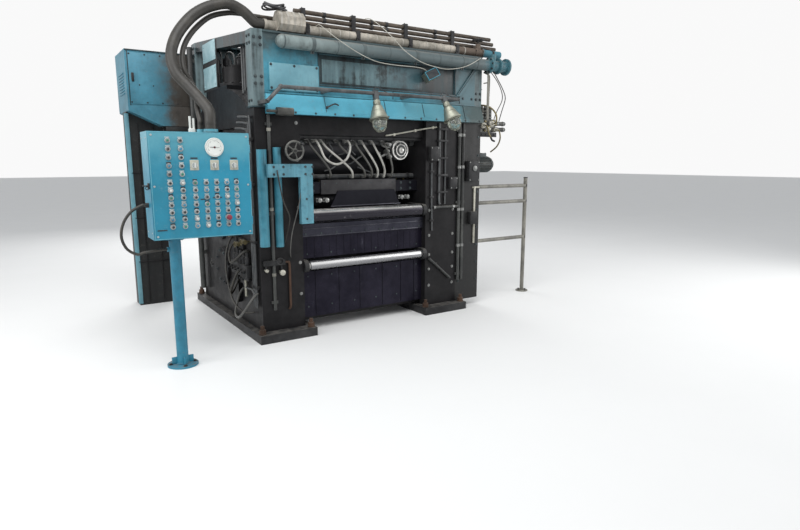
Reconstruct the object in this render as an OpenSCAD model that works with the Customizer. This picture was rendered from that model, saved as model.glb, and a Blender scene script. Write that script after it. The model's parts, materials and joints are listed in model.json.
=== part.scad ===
// Four-high strip mill stand with its top frame, guide rolls and control panel.
// Millimetres. Front towards -Y, floor at z = 0, mill centre line at x = 0.

/* [Housings] */
// Clear width between the two housings
gap_w = 1420; // [1360:10:1500]
// Thickness of one housing
housing_t = 420; // [380:10:460]
// Depth of a housing, front to rear
housing_d = 1900; // [1840:10:1960]
// Height of the flat shoulders above the floor
shoulder_z = 2100; // [2090:5:2120]
// Height of the crown above the floor
crown_z = 2340; // [2320:5:2360]
// Length of each flat shoulder, front to rear
shoulder_l = 150; // [130:10:200]
// Width of the window for the chocks
window_w = 820; // [780:10:860]
// Height of the window sill above the floor
sill_z = 250; // [240:5:260]
// Height of the window top above the floor
window_top = 1950; // [1930:5:1970]
// Radius of the window corners
window_r = 60; // [30:5:80]

/* [Rolls] */
// Height of the pass line above the floor
pass_z = 1080; // [1070:5:1090]
// Clearance between a barrel end and the chock face
barrel_clear = 20; // [10:1:60]
// Diameter of a work roll
work_d = 230; // [216:2:240]
// Diameter of a backup roll
backup_d = 560; // [540:5:570]
// Diameter of a work roll neck
work_neck_d = 130; // [110:5:150]
// Diameter of a backup roll neck
backup_neck_d = 280; // [240:5:300]
// Thickness of the strip between the work rolls
strip_t = 0.4; // [0.3:0.1:1]

/* [Guide rolls] */
// Diameter of the upper guide roll
upper_roll_d = 130; // [110:2:140]
// Height of the upper guide roll's axis
upper_roll_z = 1130; // [1120:5:1140]
// Diameter of the lower guide roll
lower_roll_d = 90; // [80:2:100]
// Height of the lower guide roll's axis
lower_roll_z = 655; // [645:5:665]
// Diameter of a guide roll journal
journal_d = 50; // [40:2:60]
// Thickness of a guide roll bearing plate
bearing_t = 45; // [35:1:55]

/* [Top frame] */
// Height of the top of the front beam above the floor
top_z = 2750; // [2730:5:2770]
// Rise of the top rails from the front beam to the rear beam
rear_rise = 150; // [120:5:170]
// Width of a corner post
post_w = 100; // [80:5:120]
// Depth of a corner post and of the beams, front to rear
post_d = 150; // [130:5:170]
// Height of the underside of the front beam
beam_z = 2220; // [2200:5:2240]
// Width of the shelf on the drive side
shelf_w = 330; // [310:5:350]
// Diameter of the exhaust duct
duct_d = 116; // [110:2:120]

/* [Control panel] */
// Width of the control panel box
panel_w = 760; // [740:10:780]
// Height of the control panel box
panel_h = 810; // [780:10:840]
// Depth of the control panel box
panel_d = 280; // [260:10:300]
// Diameter of the panel pedestal
pedestal_d = 90; // [70:5:110]
// Height of the underside of the panel
panel_z = 1050; // [1030:5:1070]

/* [Handwheel] */
// Diameter of the handwheel over its rim
wheel_d = 185; // [170:5:190]
// Thickness of the handwheel rim
wheel_rim = 20; // [16:1:24]

/* [Hidden] */
$fn = 48;

// Colours as the photograph shows them
blue = [0.22, 0.58, 0.72];
grey_blue = [0.36, 0.50, 0.58];
grease = [0.13, 0.12, 0.13];
steel = [0.72, 0.72, 0.72];
dark_steel = [0.28, 0.28, 0.30];
beige = [0.72, 0.68, 0.60];
rubber = [0.10, 0.10, 0.11];

// Small clearances
run_fit = 0.1;     // journal in its bearing, on the diameter
seat_gap = 0.3;    // between curved faces that seat on each other

// Derived places of the housings
inner_x = gap_w / 2;
outer_x = inner_x + housing_t;
housing_x = (inner_x + outer_x) / 2;
front_y = -housing_d / 2;
rear_y = housing_d / 2;
sole_t = 80;
sole_w = housing_t + 140;
sole_l = housing_d + 240;
sole_hole_d = 42;
sole_hole_x = sole_w / 2 - 38;
sole_hole_y = sole_l / 2 - 60;
arch_half = housing_d / 2 - shoulder_l;
arch_rise = crown_z - shoulder_z;
arch_r = (arch_half * arch_half + arch_rise * arch_rise) / (2 * arch_rise);
pad_y0 = -230;
pad_y1 = 420;
pad_z = crown_z + 20;

// Derived places of the rolls and chocks
bottom_work_z = pass_z - strip_t / 2 - work_d / 2;
top_work_z = pass_z + strip_t / 2 + work_d / 2;
bottom_backup_z = bottom_work_z - work_d / 2 - backup_d / 2 - seat_gap;
top_backup_z = top_work_z + work_d / 2 + backup_d / 2 + seat_gap;
work_chock_h = 2 * (work_d / 2 + strip_t / 2) + 56;
chock_over = 40;
chock_x = inner_x - chock_over;
chock_l = housing_t + 2 * chock_over;
cover_t = 30;
work_chock_z0 = pass_z - work_chock_h;
work_chock_z1 = pass_z + work_chock_h;
backup_chock_z1 = 2 * top_backup_z - work_chock_z1;
barrel_end = chock_x - barrel_clear;
neck_end = chock_x + chock_l - cover_t;
spade_end = chock_x + chock_l + cover_t + 110;

// Derived places at the front
guide_y = front_y + 20;
journal_end = inner_x - 10;
guide_barrel_end = inner_x - bearing_t - 20;
plate_t = 20;
table_y = front_y + 50;
table_end = window_w / 2 + 70;
band_z0 = pass_z - 150;
band_z1 = pass_z - 30;
drip_z0 = lower_roll_z + lower_roll_d / 2 + 20;
header_y = front_y + 160;
header_z = 1330;
bracket_t = 50;
bracket_y = guide_y - upper_roll_d / 2 - 25 - bracket_t;
bracket_z = 1500;
bracket_h = 115;
bracket_leg_z = upper_roll_z - 55;
wheel_x = -inner_x - 120;
wheel_z = 1730;
wheel_box = 90;
wheel_box_d = 100;
wheel_y = front_y - wheel_box_d - 45;
shaft_d = 24;

// Derived places of the top frame
rear_top = top_z + rear_rise;
shelf_h = 120;
shelf_x = outer_x + shelf_w;
chase_d = 200;
right_post_x = shelf_x - post_w;
beam_x0 = -outer_x + post_w;
beam_x1 = right_post_x;
rail_h = 100;
sheet = 20;
duct_y = front_y - duct_d / 2 - 10;
duct_z = top_z - duct_d / 2 - 34;
duct_x0 = -880;
duct_x1 = 1750;
duct_bolt = duct_d / 2 + 17;
apron_x1 = shelf_x - 20;
apron_d = 70;
apron_z = beam_z - 170;
strap_xs = [-620, -100, 500, 1100];
pipe_x0 = -1000;

// Derived places of the control panel
panel_turn = -1;
panel_at = [-1705, -1337, panel_z];
pedestal_at = 170 - panel_w / 2;
gland_h = 30;
big_gland = [120, panel_d / 2];
small_gland = [60, panel_d - 65];

// Points on a smooth curve through the points of a route, k steps to each span
function spline(p, k) = [
    for (i = [0 : len(p) - 2]) for (j = [0 : k - (i == len(p) - 2 ? 0 : 1)])
        let (a = p[max(i - 1, 0)], b = p[i], c = p[i + 1], d = p[min(i + 2, len(p) - 1)], t = j / k)
            0.5 * (2 * b + (c - a) * t + (2 * a - 5 * b + 4 * c - d) * t * t
                + (3 * b - a - 3 * c + d) * t * t * t)
];
function unit(v) = v / norm(v);
function tangent(p, i) = unit(p[min(i + 1, len(p) - 1)] - p[max(i - 1, 0)]);

// A round tube of radius r swept along the points p, its rings square to the
// route; side is a direction that the route never runs along
module sweep(p, r, side, n = 8) {
    rings = [
        for (i = [0 : len(p) - 1])
            let (t = tangent(p, i), u = unit(cross(side, t)), v = cross(t, u))
                for (j = [0 : n - 1]) p[i] + r * (cos(360 * j / n) * u + sin(360 * j / n) * v)
    ];
    last = len(p) - 1;
    polyhedron(points = rings, faces = concat(
        [[for (j = [n - 1 : -1 : 0]) j]],
        [for (i = [0 : last - 1]) for (j = [0 : n - 1])
            [i * n + j, i * n + (j + 1) % n, (i + 1) * n + (j + 1) % n, (i + 1) * n + j]],
        [[for (j = [0 : n - 1]) last * n + j]]
    ), convexity = 6);
}

// A box from corner a to corner b
module block(a, b) {
    translate(a) cube(b - a);
}

// A cylinder along X from x0 to x1 round the line at y, z
module bar_x(x0, x1, y, z, d) {
    translate([x0, y, z]) rotate([0, 90, 0]) cylinder(h = x1 - x0, d = d);
}

// A cylinder along Y from y0 to y1 round the line at x, z
module bar_y(y0, y1, x, z, d) {
    translate([x, y1, z]) rotate([90, 0, 0]) cylinder(h = y1 - y0, d = d);
}

// A rectangle with round corners, centred
module round_rect(w, h, r) {
    square([w - 2 * r, h], center = true);
    square([w, h - 2 * r], center = true);
    for (x = [-1, 1]) for (y = [-1, 1])
        translate([x * (w / 2 - r), y * (h / 2 - r)]) circle(r);
}

// Extrudes an outline drawn in Y and Z along X, from x0 over length l
module along_x(x0, l) {
    translate([x0, 0, 0]) rotate([90, 0, 90]) linear_extrude(l) children();
}

// Extrudes an outline drawn in X and Z along Y, from y0 over length l
module along_y(y0, l) {
    translate([0, y0 + l, 0]) rotate([90, 0, 0]) linear_extrude(l) children();
}

// Side outline of a housing: shoulders, arched crown, pad and window
module housing_outline() {
    difference() {
        union() {
            translate([front_y, sole_t]) square([housing_d, shoulder_z - sole_t]);
            intersection() {
                translate([0, crown_z - arch_r]) circle(arch_r, $fn = 160);
                translate([-arch_half, shoulder_z - 50]) square([2 * arch_half, arch_rise + 60]);
            }
            translate([pad_y0, shoulder_z - 50]) square([pad_y1 - pad_y0, pad_z - shoulder_z + 50]);
        }
        translate([0, (sill_z + window_top) / 2])
            round_rect(window_w, window_top - sill_z, window_r);
    }
}

module left_housing() {
    color(grease) along_x(-outer_x, housing_t) housing_outline();
}

module right_housing() {
    color(grease) along_x(inner_x, housing_t) housing_outline();
}

// One sole plate under each housing, drilled for its foundation bolts
module sole_plates() {
    color(dark_steel) for (s = [-1, 1]) difference() {
        translate([s * housing_x, 0, sole_t / 2]) cube([sole_w, sole_l, sole_t], center = true);
        for (x = [-1, 1]) for (y = [-1, 1])
            translate([s * housing_x + x * sole_hole_x, y * sole_hole_y, -1])
                cylinder(h = sole_t + 2, d = sole_hole_d);
    }
}

// Cross beams between the housings: two low ones, one between the crowns, and
// the plate behind the foot of the apron
module cross_ties() {
    color(grease) {
        for (y = [front_y + 120, rear_y - 320])
            block([-inner_x, y, sole_t + 20], [inner_x, y + 200, sill_z + 10]);
        block([-inner_x, -160, window_top + 60], [inner_x, 160, shoulder_z]);
        block([-inner_x, front_y + 50, shoulder_z - 220], [inner_x, front_y + 70, shoulder_z - 10]);
    }
}

// A roll of the stack, turned: barrel with broken edges, shoulders and necks
module stack_roll(z, d, neck_d) {
    edge = d / 45;
    step = (d + neck_d) / 4;
    translate([0, 0, z]) rotate([0, 90, 0]) rotate_extrude($fn = 96) polygon([
        [0, -neck_end], [neck_d / 2, -neck_end], [neck_d / 2, -chock_x + 1],
        [step, -chock_x + 1], [step, -barrel_end], [d / 2 - edge, -barrel_end],
        [d / 2, -barrel_end + edge], [d / 2, barrel_end - edge], [d / 2 - edge, barrel_end],
        [step, barrel_end], [step, chock_x - 1], [neck_d / 2, chock_x - 1],
        [neck_d / 2, neck_end], [0, neck_end]
    ]);
}

module backup_rolls() {
    color(steel) {
        stack_roll(top_backup_z, backup_d, backup_neck_d);
        stack_roll(bottom_backup_z, backup_d, backup_neck_d);
    }
}

// Work rolls with their drive spades, flat on two sides, on the drive side
module work_rolls() {
    spade_d = work_neck_d - 20;
    color(steel) for (z = [bottom_work_z, top_work_z]) {
        stack_roll(z, work_d, work_neck_d);
        intersection() {
            bar_x(neck_end - 1, spade_end, 0, z, spade_d);
            block([neck_end - 1, -spade_d / 2, z - spade_d / 3], [spade_end, spade_d / 2, z + spade_d / 3]);
        }
    }
}

// A chock in the window, its foot or head cut back where the window is round,
// with the bore for its neck and the round bearing cover on its outer face
module chock(s, z0, z1, z, neck_d, foot, through) {
    cover_d = min(neck_d + 110, z1 - z0 - 20);
    cut = foot ? window_r + 2 : 4;
    half = window_w / 2;
    mirror([s < 0 ? 1 : 0, 0, 0]) difference() {
        union() {
            along_x(chock_x, chock_l) polygon([
                [-half, z0 + cut], [-half + cut, z0], [half - cut, z0], [half, z0 + cut],
                [half, z1 - 4], [half - 4, z1], [-half + 4, z1], [-half, z1 - 4]
            ]);
            bar_x(chock_x + chock_l - 1, chock_x + chock_l + cover_t, 0, z, cover_d);
        }
        bar_x(chock_x - 1, through ? spade_end : neck_end + seat_gap, 0, z, neck_d + 2 * seat_gap);
    }
}

module backup_chocks() {
    color(grease) for (s = [-1, 1]) {
        chock(s, sill_z, work_chock_z0, bottom_backup_z, backup_neck_d, true, false);
        chock(s, work_chock_z1, backup_chock_z1, top_backup_z, backup_neck_d, false, false);
    }
}

module work_chocks() {
    color(dark_steel) for (s = [-1, 1]) {
        chock(s, work_chock_z0, pass_z - strip_t, bottom_work_z, work_neck_d, false, s > 0);
        chock(s, pass_z, work_chock_z1, top_work_z, work_neck_d, false, s > 0);
    }
}

// Roll force cylinders: one in each window over the top chock, and the oil
// cylinder on the pad of each crown
module screw_cylinders() {
    color(dark_steel) for (s = [-1, 1]) translate([s * housing_x, 0, 0]) {
        translate([0, 0, backup_chock_z1])
            cylinder(h = window_top - backup_chock_z1, d = housing_t - 40);
        translate([0, 0, pad_z]) cylinder(h = 30, d = housing_t - 20);
        translate([0, 0, pad_z + 29]) cylinder(h = 160, d = housing_t - 90);
        translate([0, 0, pad_z + 188]) cylinder(h = 24, d = housing_t - 160);
    }
}

// A guide roll, turned: barrel with broken edges and journals
module guide_roll(z, d) {
    edge = 4;
    translate([0, guide_y, z]) rotate([0, 90, 0]) rotate_extrude($fn = 96) polygon([
        [0, -journal_end], [journal_d / 2, -journal_end], [journal_d / 2, -guide_barrel_end],
        [d / 2 - edge, -guide_barrel_end], [d / 2, -guide_barrel_end + edge],
        [d / 2, guide_barrel_end - edge], [d / 2 - edge, guide_barrel_end],
        [journal_d / 2, guide_barrel_end], [journal_d / 2, journal_end], [0, journal_end]
    ]);
}

module upper_guide_roll() {
    color(steel) guide_roll(upper_roll_z, upper_roll_d);
}

module lower_guide_roll() {
    color(steel) guide_roll(lower_roll_z, lower_roll_d);
}

// Bearing plate bolted to the inner face of a housing
module bearing_plate(s, z) {
    boss_d = journal_d + 70;
    arm_l = 260;
    mirror([s < 0 ? 1 : 0, 0, 0]) difference() {
        union() {
            bar_x(inner_x - bearing_t, inner_x, guide_y, z, boss_d);
            block([inner_x - bearing_t, guide_y, z - boss_d / 2],
                [inner_x, guide_y + arm_l, z + boss_d / 2]);
        }
        bar_x(0, inner_x + 1, guide_y, z, journal_d + run_fit);
    }
}

module guide_roll_bearings() {
    color(dark_steel) for (s = [-1, 1]) {
        bearing_plate(s, upper_roll_z);
        bearing_plate(s, lower_roll_z);
    }
}

// Strip tables before and after the rolls, each with its front band
module strip_tables() {
    color(dark_steel) for (m = [0, 1]) mirror([0, m, 0]) {
        block([-inner_x, table_y, band_z1 - 45], [inner_x, -table_end, band_z1]);
        block([-inner_x, table_y, band_z0], [inner_x, table_y + plate_t, band_z1 - 44]);
    }
}

// Drip plates behind the bands and below the lower guide roll
module drip_plates() {
    foot_z = sole_t + 60;
    color(grease) for (m = [0, 1]) mirror([0, m, 0]) {
        block([-inner_x, table_y + plate_t, drip_z0], [inner_x, table_y + 2 * plate_t, band_z0 + 20]);
        block([-inner_x, table_y + plate_t, foot_z],
            [inner_x, table_y + 2 * plate_t, lower_roll_z - journal_d / 2 - 40]);
    }
}

// Cross plates over the strip, each with a light cover and a wiper that widens
// downwards
module header_plates() {
    color(dark_steel) for (m = [0, 1]) mirror([0, m, 0]) {
        block([-inner_x, header_y, header_z], [inner_x, header_y + 50, header_z + 110]);
        block([-440, header_y - 10, header_z - 10], [430, header_y + 1, header_z + 130]);
        along_y(header_y - 26, 17)
            polygon([[-260, header_z + 20], [400, header_z + 20], [470, header_z - 130], [-340, header_z - 130]]);
    }
}

// Spray pipes across the window with the bosses for their hoses, and the round
// valve between them
spray_y = front_y + 250;
spray_top_z = 1830;
spray_low_z = header_z + 155;
spray_face = spray_y - 45;
hose_tops = [-560, -420, -250, -60, 30, 150, 290];
hose_feet = [-330, -80, 60, 140, 210, 290, 380];
loop_xs = [-495, -150];
module spray_header() {
    color(steel) {
        bar_x(-inner_x, inner_x, spray_y, spray_top_z, 60);
        bar_x(-inner_x, inner_x, spray_y, spray_low_z, 50);
        for (x = concat(hose_tops, loop_xs)) bar_y(spray_face, spray_y, x, spray_top_z, 34);
        for (x = hose_feet) bar_y(spray_face, spray_y, x, spray_low_z, 34);
        bar_y(spray_y - 110, spray_y - 10, 480, spray_top_z - 80, 200);
        bar_y(spray_y - 130, spray_y - 109, 480, spray_top_z - 80, 120);
    }
}

// Hoses from the upper spray pipe to the lower one, and one long loop in front
hose_r = 11;
module spray_hoses() {
    drop = spray_top_z - spray_low_z;
    color(beige) {
        for (i = [0 : len(hose_tops) - 1]) {
            x = hose_tops[i];
            over = hose_feet[i] - x;
            sweep(spline([
                [x, spray_face, spray_top_z], [x, spray_face - 20, spray_top_z],
                [x, spray_face - 45, spray_top_z], [x + over * 0.12, spray_face - 88, spray_top_z - drop * 0.2],
                [x + over * 0.5, spray_face - 105, spray_top_z - drop * 0.5],
                [x + over * 0.88, spray_face - 88, spray_low_z + drop * 0.2],
                [x + over, spray_face - 45, spray_low_z], [x + over, spray_face - 20, spray_low_z],
                [x + over, spray_face, spray_low_z]
            ], 3), hose_r, [1, 0, 0]);
        }
        sweep(spline([
            [loop_xs[0], spray_face, spray_top_z], [loop_xs[0], spray_face - 40, spray_top_z],
            [loop_xs[0], spray_face - 90, spray_top_z], [loop_xs[0] + 10, spray_face - 150, spray_top_z - 60],
            [loop_xs[0] + 60, spray_face - 165, spray_top_z - 170],
            [(loop_xs[0] + loop_xs[1]) / 2, spray_face - 168, spray_top_z - 220],
            [loop_xs[1] - 60, spray_face - 165, spray_top_z - 170],
            [loop_xs[1] - 10, spray_face - 150, spray_top_z - 60],
            [loop_xs[1], spray_face - 90, spray_top_z], [loop_xs[1], spray_face - 40, spray_top_z],
            [loop_xs[1], spray_face, spray_top_z]
        ], 3), hose_r, [1, 1, 0]);
    }
}

// Angle bracket on the left post whose leg reaches down to the upper roll
module l_bracket() {
    leg_x0 = -guide_barrel_end - 125;
    leg_x1 = -guide_barrel_end - 5;
    arm_x0 = -outer_x + 60;
    top = bracket_z + bracket_h;
    color(blue) {
        along_y(bracket_y, bracket_t) polygon([
            [arm_x0, top], [leg_x1, top], [leg_x1, bracket_leg_z],
            [leg_x0, bracket_leg_z], [leg_x0, bracket_z], [arm_x0, bracket_z]
        ]);
        block([wheel_x - 75, bracket_y + bracket_t - 1, bracket_z], [-inner_x - 30, front_y, top]);
    }
}

// Cover strips on the front of the left post
module post_covers() {
    cover_z = 880;
    color(blue) {
        block([-outer_x, front_y - 25, cover_z], [-outer_x + 85, front_y, cover_z + 860]);
        block([-outer_x + 150, front_y - 25, cover_z - 10], [-outer_x + 220, front_y, cover_z + 880]);
    }
}

// Handwheel with five spokes, hub and shaft
module handwheel() {
    color(dark_steel) translate([wheel_x, wheel_y, wheel_z]) rotate([90, 0, 0]) {
        rotate_extrude($fn = 64) translate([(wheel_d - wheel_rim) / 2, 0])
            circle(d = wheel_rim, $fn = 24);
        for (a = [0 : 72 : 359]) rotate([0, 0, a]) rotate([0, 90, 0])
            cylinder(h = (wheel_d - wheel_rim) / 2, d = 12, $fn = 16);
        translate([0, 0, -14]) cylinder(h = 30, d = 44);
        translate([0, 0, -75]) cylinder(h = 62, d = shaft_d);
    }
}

// Gearbox of the handwheel, bored for its shaft
module handwheel_box() {
    color(dark_steel) difference() {
        union() {
            block([wheel_x - wheel_box / 2, front_y - wheel_box_d + 12, wheel_z - wheel_box / 2],
                [wheel_x + wheel_box / 2, front_y, wheel_z + wheel_box / 2]);
            bar_y(front_y - wheel_box_d, front_y - wheel_box_d + 13, wheel_x, wheel_z, 70);
        }
        bar_y(front_y - wheel_box_d - 1, front_y - wheel_box_d + 60, wheel_x, wheel_z,
            shaft_d + run_fit);
    }
}

// Slim corner posts: two on the left shoulders, two on the drive side shelf
module corner_posts() {
    color(grey_blue) for (x = [-outer_x, right_post_x]) {
        block([x, front_y, shoulder_z], [x + post_w, front_y + post_d, top_z]);
        block([x, rear_y - post_d, shoulder_z], [x + post_w, rear_y, rear_top]);
    }
}

// Front beam: a channel open to the rear, with the recess of its bare name
// panel, a cover plate, lips along both edges and the slanted brace at its end
recess_x0 = -500;
recess_x1 = 1080;
recess_z0 = beam_z + 110;
recess_z1 = beam_z + 380;
module front_beam() {
    lip = 16;
    color(blue) {
        difference() {
            block([beam_x0, front_y, beam_z], [beam_x1, front_y + post_d, top_z]);
            block([recess_x0, front_y - 1, recess_z0], [recess_x1, front_y + 10, recess_z1]);
            block([beam_x0 + sheet, front_y + sheet, beam_z + sheet],
                [beam_x1 - sheet, front_y + post_d + 1, top_z - sheet]);
        }
        for (z = [beam_z + 6, top_z - 20])
            block([beam_x0, front_y - lip, z], [beam_x1, front_y + 1, z + 14]);
        block([beam_x0 + 40, front_y - 10, beam_z + 30], [recess_x0 - 10, front_y + 1, beam_z + 270]);
        along_y(front_y - 15, 16) polygon([
            [recess_x1 + 20, beam_z + 100], [recess_x1 + 80, beam_z + 100],
            [beam_x1, recess_z1 - 30], [beam_x1, recess_z1 + 40]
        ]);
    }
}

// Sloping apron under the front beam
module beam_apron() {
    color(blue) along_x(beam_x0, apron_x1 - beam_x0)
        polygon([
            [front_y, beam_z], [front_y, apron_z], [front_y - apron_d, apron_z],
            [front_y - apron_d, apron_z + 30], [front_y - 20, beam_z]
        ]);
}

module rear_beam() {
    color(blue) difference() {
        block([beam_x0, rear_y - post_d, beam_z], [beam_x1, rear_y, rear_top]);
        block([beam_x0 + sheet, rear_y - post_d - 1, beam_z + sheet],
            [beam_x1 - sheet, rear_y - sheet, rear_top - sheet]);
    }
}

// Rails along the top of both sides, rising to the rear posts
module side_rails() {
    y0 = front_y + post_d;
    y1 = rear_y - post_d;
    color(blue) for (x = [-outer_x, right_post_x])
        along_x(x, post_w)
            polygon([[y0, top_z - rail_h], [y1, rear_top - rail_h], [y1, rear_top], [y0, top_z]]);
}

// Three oil accumulators in a row on the pad of the left crown
module accumulators() {
    accum_y = pad_y1 - 90;
    color(grey_blue) for (i = [0 : 2]) translate([-outer_x + 65 + 128 * i, accum_y, pad_z]) {
        cylinder(h = 310, d = 110);
        translate([0, 0, 150]) cylinder(h = 26, d = 120);
        translate([0, 0, 309]) cylinder(h = 20, d = 80);
        translate([0, 0, 328]) cylinder(h = 30, d = 40);
    }
}

// Shelf on the outer face of the drive side housing with its gussets, and the
// channel below it that guards the pipes
module drive_shelf() {
    wall = 12;
    shelf_z = shoulder_z - shelf_h;
    color(grease) {
        block([outer_x, front_y, shelf_z], [shelf_x, rear_y, shoulder_z]);
        difference() {
            block([outer_x, front_y, sole_t], [shelf_x, front_y + chase_d, shelf_z + 1]);
            block([outer_x + wall, front_y + wall, sole_t + wall],
                [shelf_x + 1, front_y + chase_d - wall, shelf_z - wall]);
        }
        for (y = [-window_w / 2 - 90, window_w / 2 + 60, rear_y - 60]) along_y(y, 30)
            polygon([[outer_x, shelf_z + 1], [shelf_x, shelf_z + 1], [shelf_x, shelf_z - 20], [outer_x, shelf_z - 260]]);
    }
}

// Exhaust duct along the beam on straps, its left end capped, a pair of
// flanges round its damper and a drilled flange at its right end
module exhaust_duct() {
    color(grey_blue) {
        bar_x(duct_x0, duct_x1, duct_y, duct_z, duct_d);
        translate([duct_x0, duct_y, duct_z]) sphere(d = duct_d);
        for (x = [1490, 1610]) bar_x(x, x + 20, duct_y, duct_z, duct_d + 50);
        translate([1560, duct_y, duct_z]) cylinder(h = duct_d / 2 + 60, d = 60);
        difference() {
            bar_x(duct_x1 - 20, duct_x1, duct_y, duct_z, duct_d + 60);
            for (a = [0 : 45 : 359]) translate([0, duct_y, duct_z]) rotate([a, 0, 0])
                bar_x(duct_x1 - 21, duct_x1 + 1, 0, duct_bolt, 12);
        }
        for (x = strap_xs)
            block([x, duct_y, duct_z - 20], [x + 40, front_y, duct_z + 20]);
    }
}

// Lagged pipe along the top of the frame, with the wrapped joint near its left
// end and the flanges and spindle of its valve
lagged_d = 80;
lagged_y = front_y + 50;
lagged_z = top_z + 50;
module top_pipes() {
    flange_d = lagged_d + 16;
    joint_l = 240;
    color(beige) {
        bar_x(pipe_x0, duct_x1, lagged_y, lagged_z, lagged_d);
        for (x = [pipe_x0, 1380, 1480]) bar_x(x, x + 25, lagged_y, lagged_z, flange_d);
        translate([1440, lagged_y, lagged_z]) cylinder(h = 90, d = 56);
        translate([pipe_x0 + 110, lagged_y - 30, lagged_z + 38]) rotate([0, 90, 0])
            rotate([0, 0, 22.5]) cylinder(h = joint_l, d = 176, $fn = 8);
    }
}

// Three slim pipes one over the other behind the lagged one
slim_d = 40;
slim_y = front_y + 124;
slim_zs = [top_z + 122, top_z + 170, top_z + 218];
module slim_pipes() {
    starts = [pipe_x0, strap_xs[0] - 20, strap_xs[0] - 60];
    color(dark_steel) for (i = [0 : 2])
        bar_x(starts[i], duct_x1 - 40 * i, slim_y, slim_zs[i], slim_d);
}

// Clamp blocks that hold the pipes on the beam
module pipe_saddles() {
    grip = 2 * seat_gap;
    step_y = slim_y - slim_d / 2 - 14;
    step_z = lagged_z + lagged_d / 2 + 6;
    head_z = slim_zs[2] + slim_d / 2 + 8;
    color(dark_steel) for (x = strap_xs) difference() {
        along_x(x, 40) polygon([
            [front_y + 2, top_z], [front_y + 2, step_z], [step_y, step_z],
            [step_y, head_z], [front_y + post_d - 2, head_z], [front_y + post_d - 2, top_z]
        ]);
        bar_x(x - 1, x + 41, lagged_y, lagged_z, lagged_d + grip);
        for (z = slim_zs) bar_x(x - 1, x + 41, slim_y, z, slim_d + grip);
    }
}

// Pipe rail for the lamps: its left end turns down to the corner post, and a
// clamp over each lamp is tilted as the lamp is
rail_y = front_y - apron_d - 105;
lamp_rail_z = beam_z + 45;
lamp_rail_d = 34;
lamps = [[-10, -15, 0, 60], [800, -22, -14, 40]]; // place, tilts about X and Y, length of the clamp
module at_lamp(l) {
    translate([l[0], rail_y, lamp_rail_z]) rotate([l[1], l[2], 0]) children();
}
module lamp_rail() {
    bend_x = beam_x0 + 80;
    end_x = -outer_x + 60;
    run = sqrt(2) * 125;
    color(grey_blue) {
        bar_x(bend_x, 1000, rail_y, lamp_rail_z, lamp_rail_d);
        translate([bend_x, rail_y, lamp_rail_z]) sphere(d = lamp_rail_d + 12);
        translate([bend_x, rail_y, lamp_rail_z]) rotate([0, -135, 0]) cylinder(h = run, d = lamp_rail_d);
        block([end_x - 25, rail_y, lamp_rail_z - 140], [end_x + 15, front_y, lamp_rail_z - 110]);
        for (x = [-480, 400, 980])
            block([x - 15, rail_y, lamp_rail_z - 15], [x + 15, front_y, lamp_rail_z + 15]);
        for (l = lamps) at_lamp(l) block([-22, -22, -l[3]], [22, 22, 20]);
    }
}

// Bell shaped work lamps hung from the clamps, and the small spot lamp on the
// beam above the second one
bell_h = 194;
module work_lamps() {
    color(steel) for (l = lamps) at_lamp(l) translate([0, 0, -l[3]]) rotate_extrude($fn = 64) polygon([
        [0, 0], [24, 0], [32, -14], [32, -48], [46, -66], [86, -178], [90, -180], [90, -bell_h], [0, -bell_h]
    ]);
    spot = [720, front_y - 62, recess_z0 + 165];
    color(blue) {
        translate(spot) rotate([-20, -25, 0]) cube([150, 80, 90], center = true);
        block([spot[0] - 20, spot[1], spot[2] - 20], [spot[0] + 20, front_y + 10, spot[2] + 20]);
    }
}

// Glass globes that close the bells
module lamp_globes() {
    globe_r = 66;
    color([0.9, 0.9, 0.88]) for (l = lamps) at_lamp(l) translate([0, 0, -l[3] - bell_h]) difference() {
        translate([0, 0, -40]) sphere(r = globe_r);
        translate([0, 0, globe_r]) cube(2 * globe_r, center = true);
    }
}

// A pipe up the front of a post from z0 to z1, on clips against the face at y
module post_pipe(x, z0, z1, y, d) {
    translate([x, y - d / 2 - seat_gap, z0]) cylinder(h = z1 - z0, d = d);
    for (z = [z0 + 60, (z0 + z1) / 2, z1 - 90])
        block([x - d, y - d / 2, z], [x + d, y, z + 24]);
}

// Vertical pipes on the fronts of both posts with their cross pipes, and the
// two at the rear left corner
pipe_d = 34;
module vertical_pipes() {
    pipe_y = front_y - pipe_d / 2 - seat_gap;
    pipe_top = apron_z - 10;
    cross_z = upper_roll_z + 20;
    corner_y = rear_y - 90;
    color(grey_blue) {
        post_pipe(-outer_x + 117, sole_t + 200, pipe_top, front_y, 30);
        for (x = [outer_x + 20, outer_x + 70]) post_pipe(x, sole_t + 240, pipe_top, front_y, pipe_d);
        bar_x(inner_x + 90, outer_x + 20, pipe_y, cross_z, 28);
        block([inner_x + 110, pipe_y, cross_z - 12], [inner_x + 150, front_y, cross_z + 12]);
        translate([inner_x + 40, pipe_y, 600]) rotate([0, 130, 0]) cylinder(h = 380, d = 28);
        block([inner_x + 110, pipe_y, 520], [inner_x + 150, front_y, 544]);
        translate([-outer_x - 45, corner_y, sole_t + 100]) cylinder(h = rear_top - sole_t - 140, d = 60);
        for (z = [sole_t + 500, shoulder_z - 200, rear_top - 200])
            block([-outer_x - 45, corner_y - 20, z], [-outer_x, corner_y + 20, z + 40]);
    }
}

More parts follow.
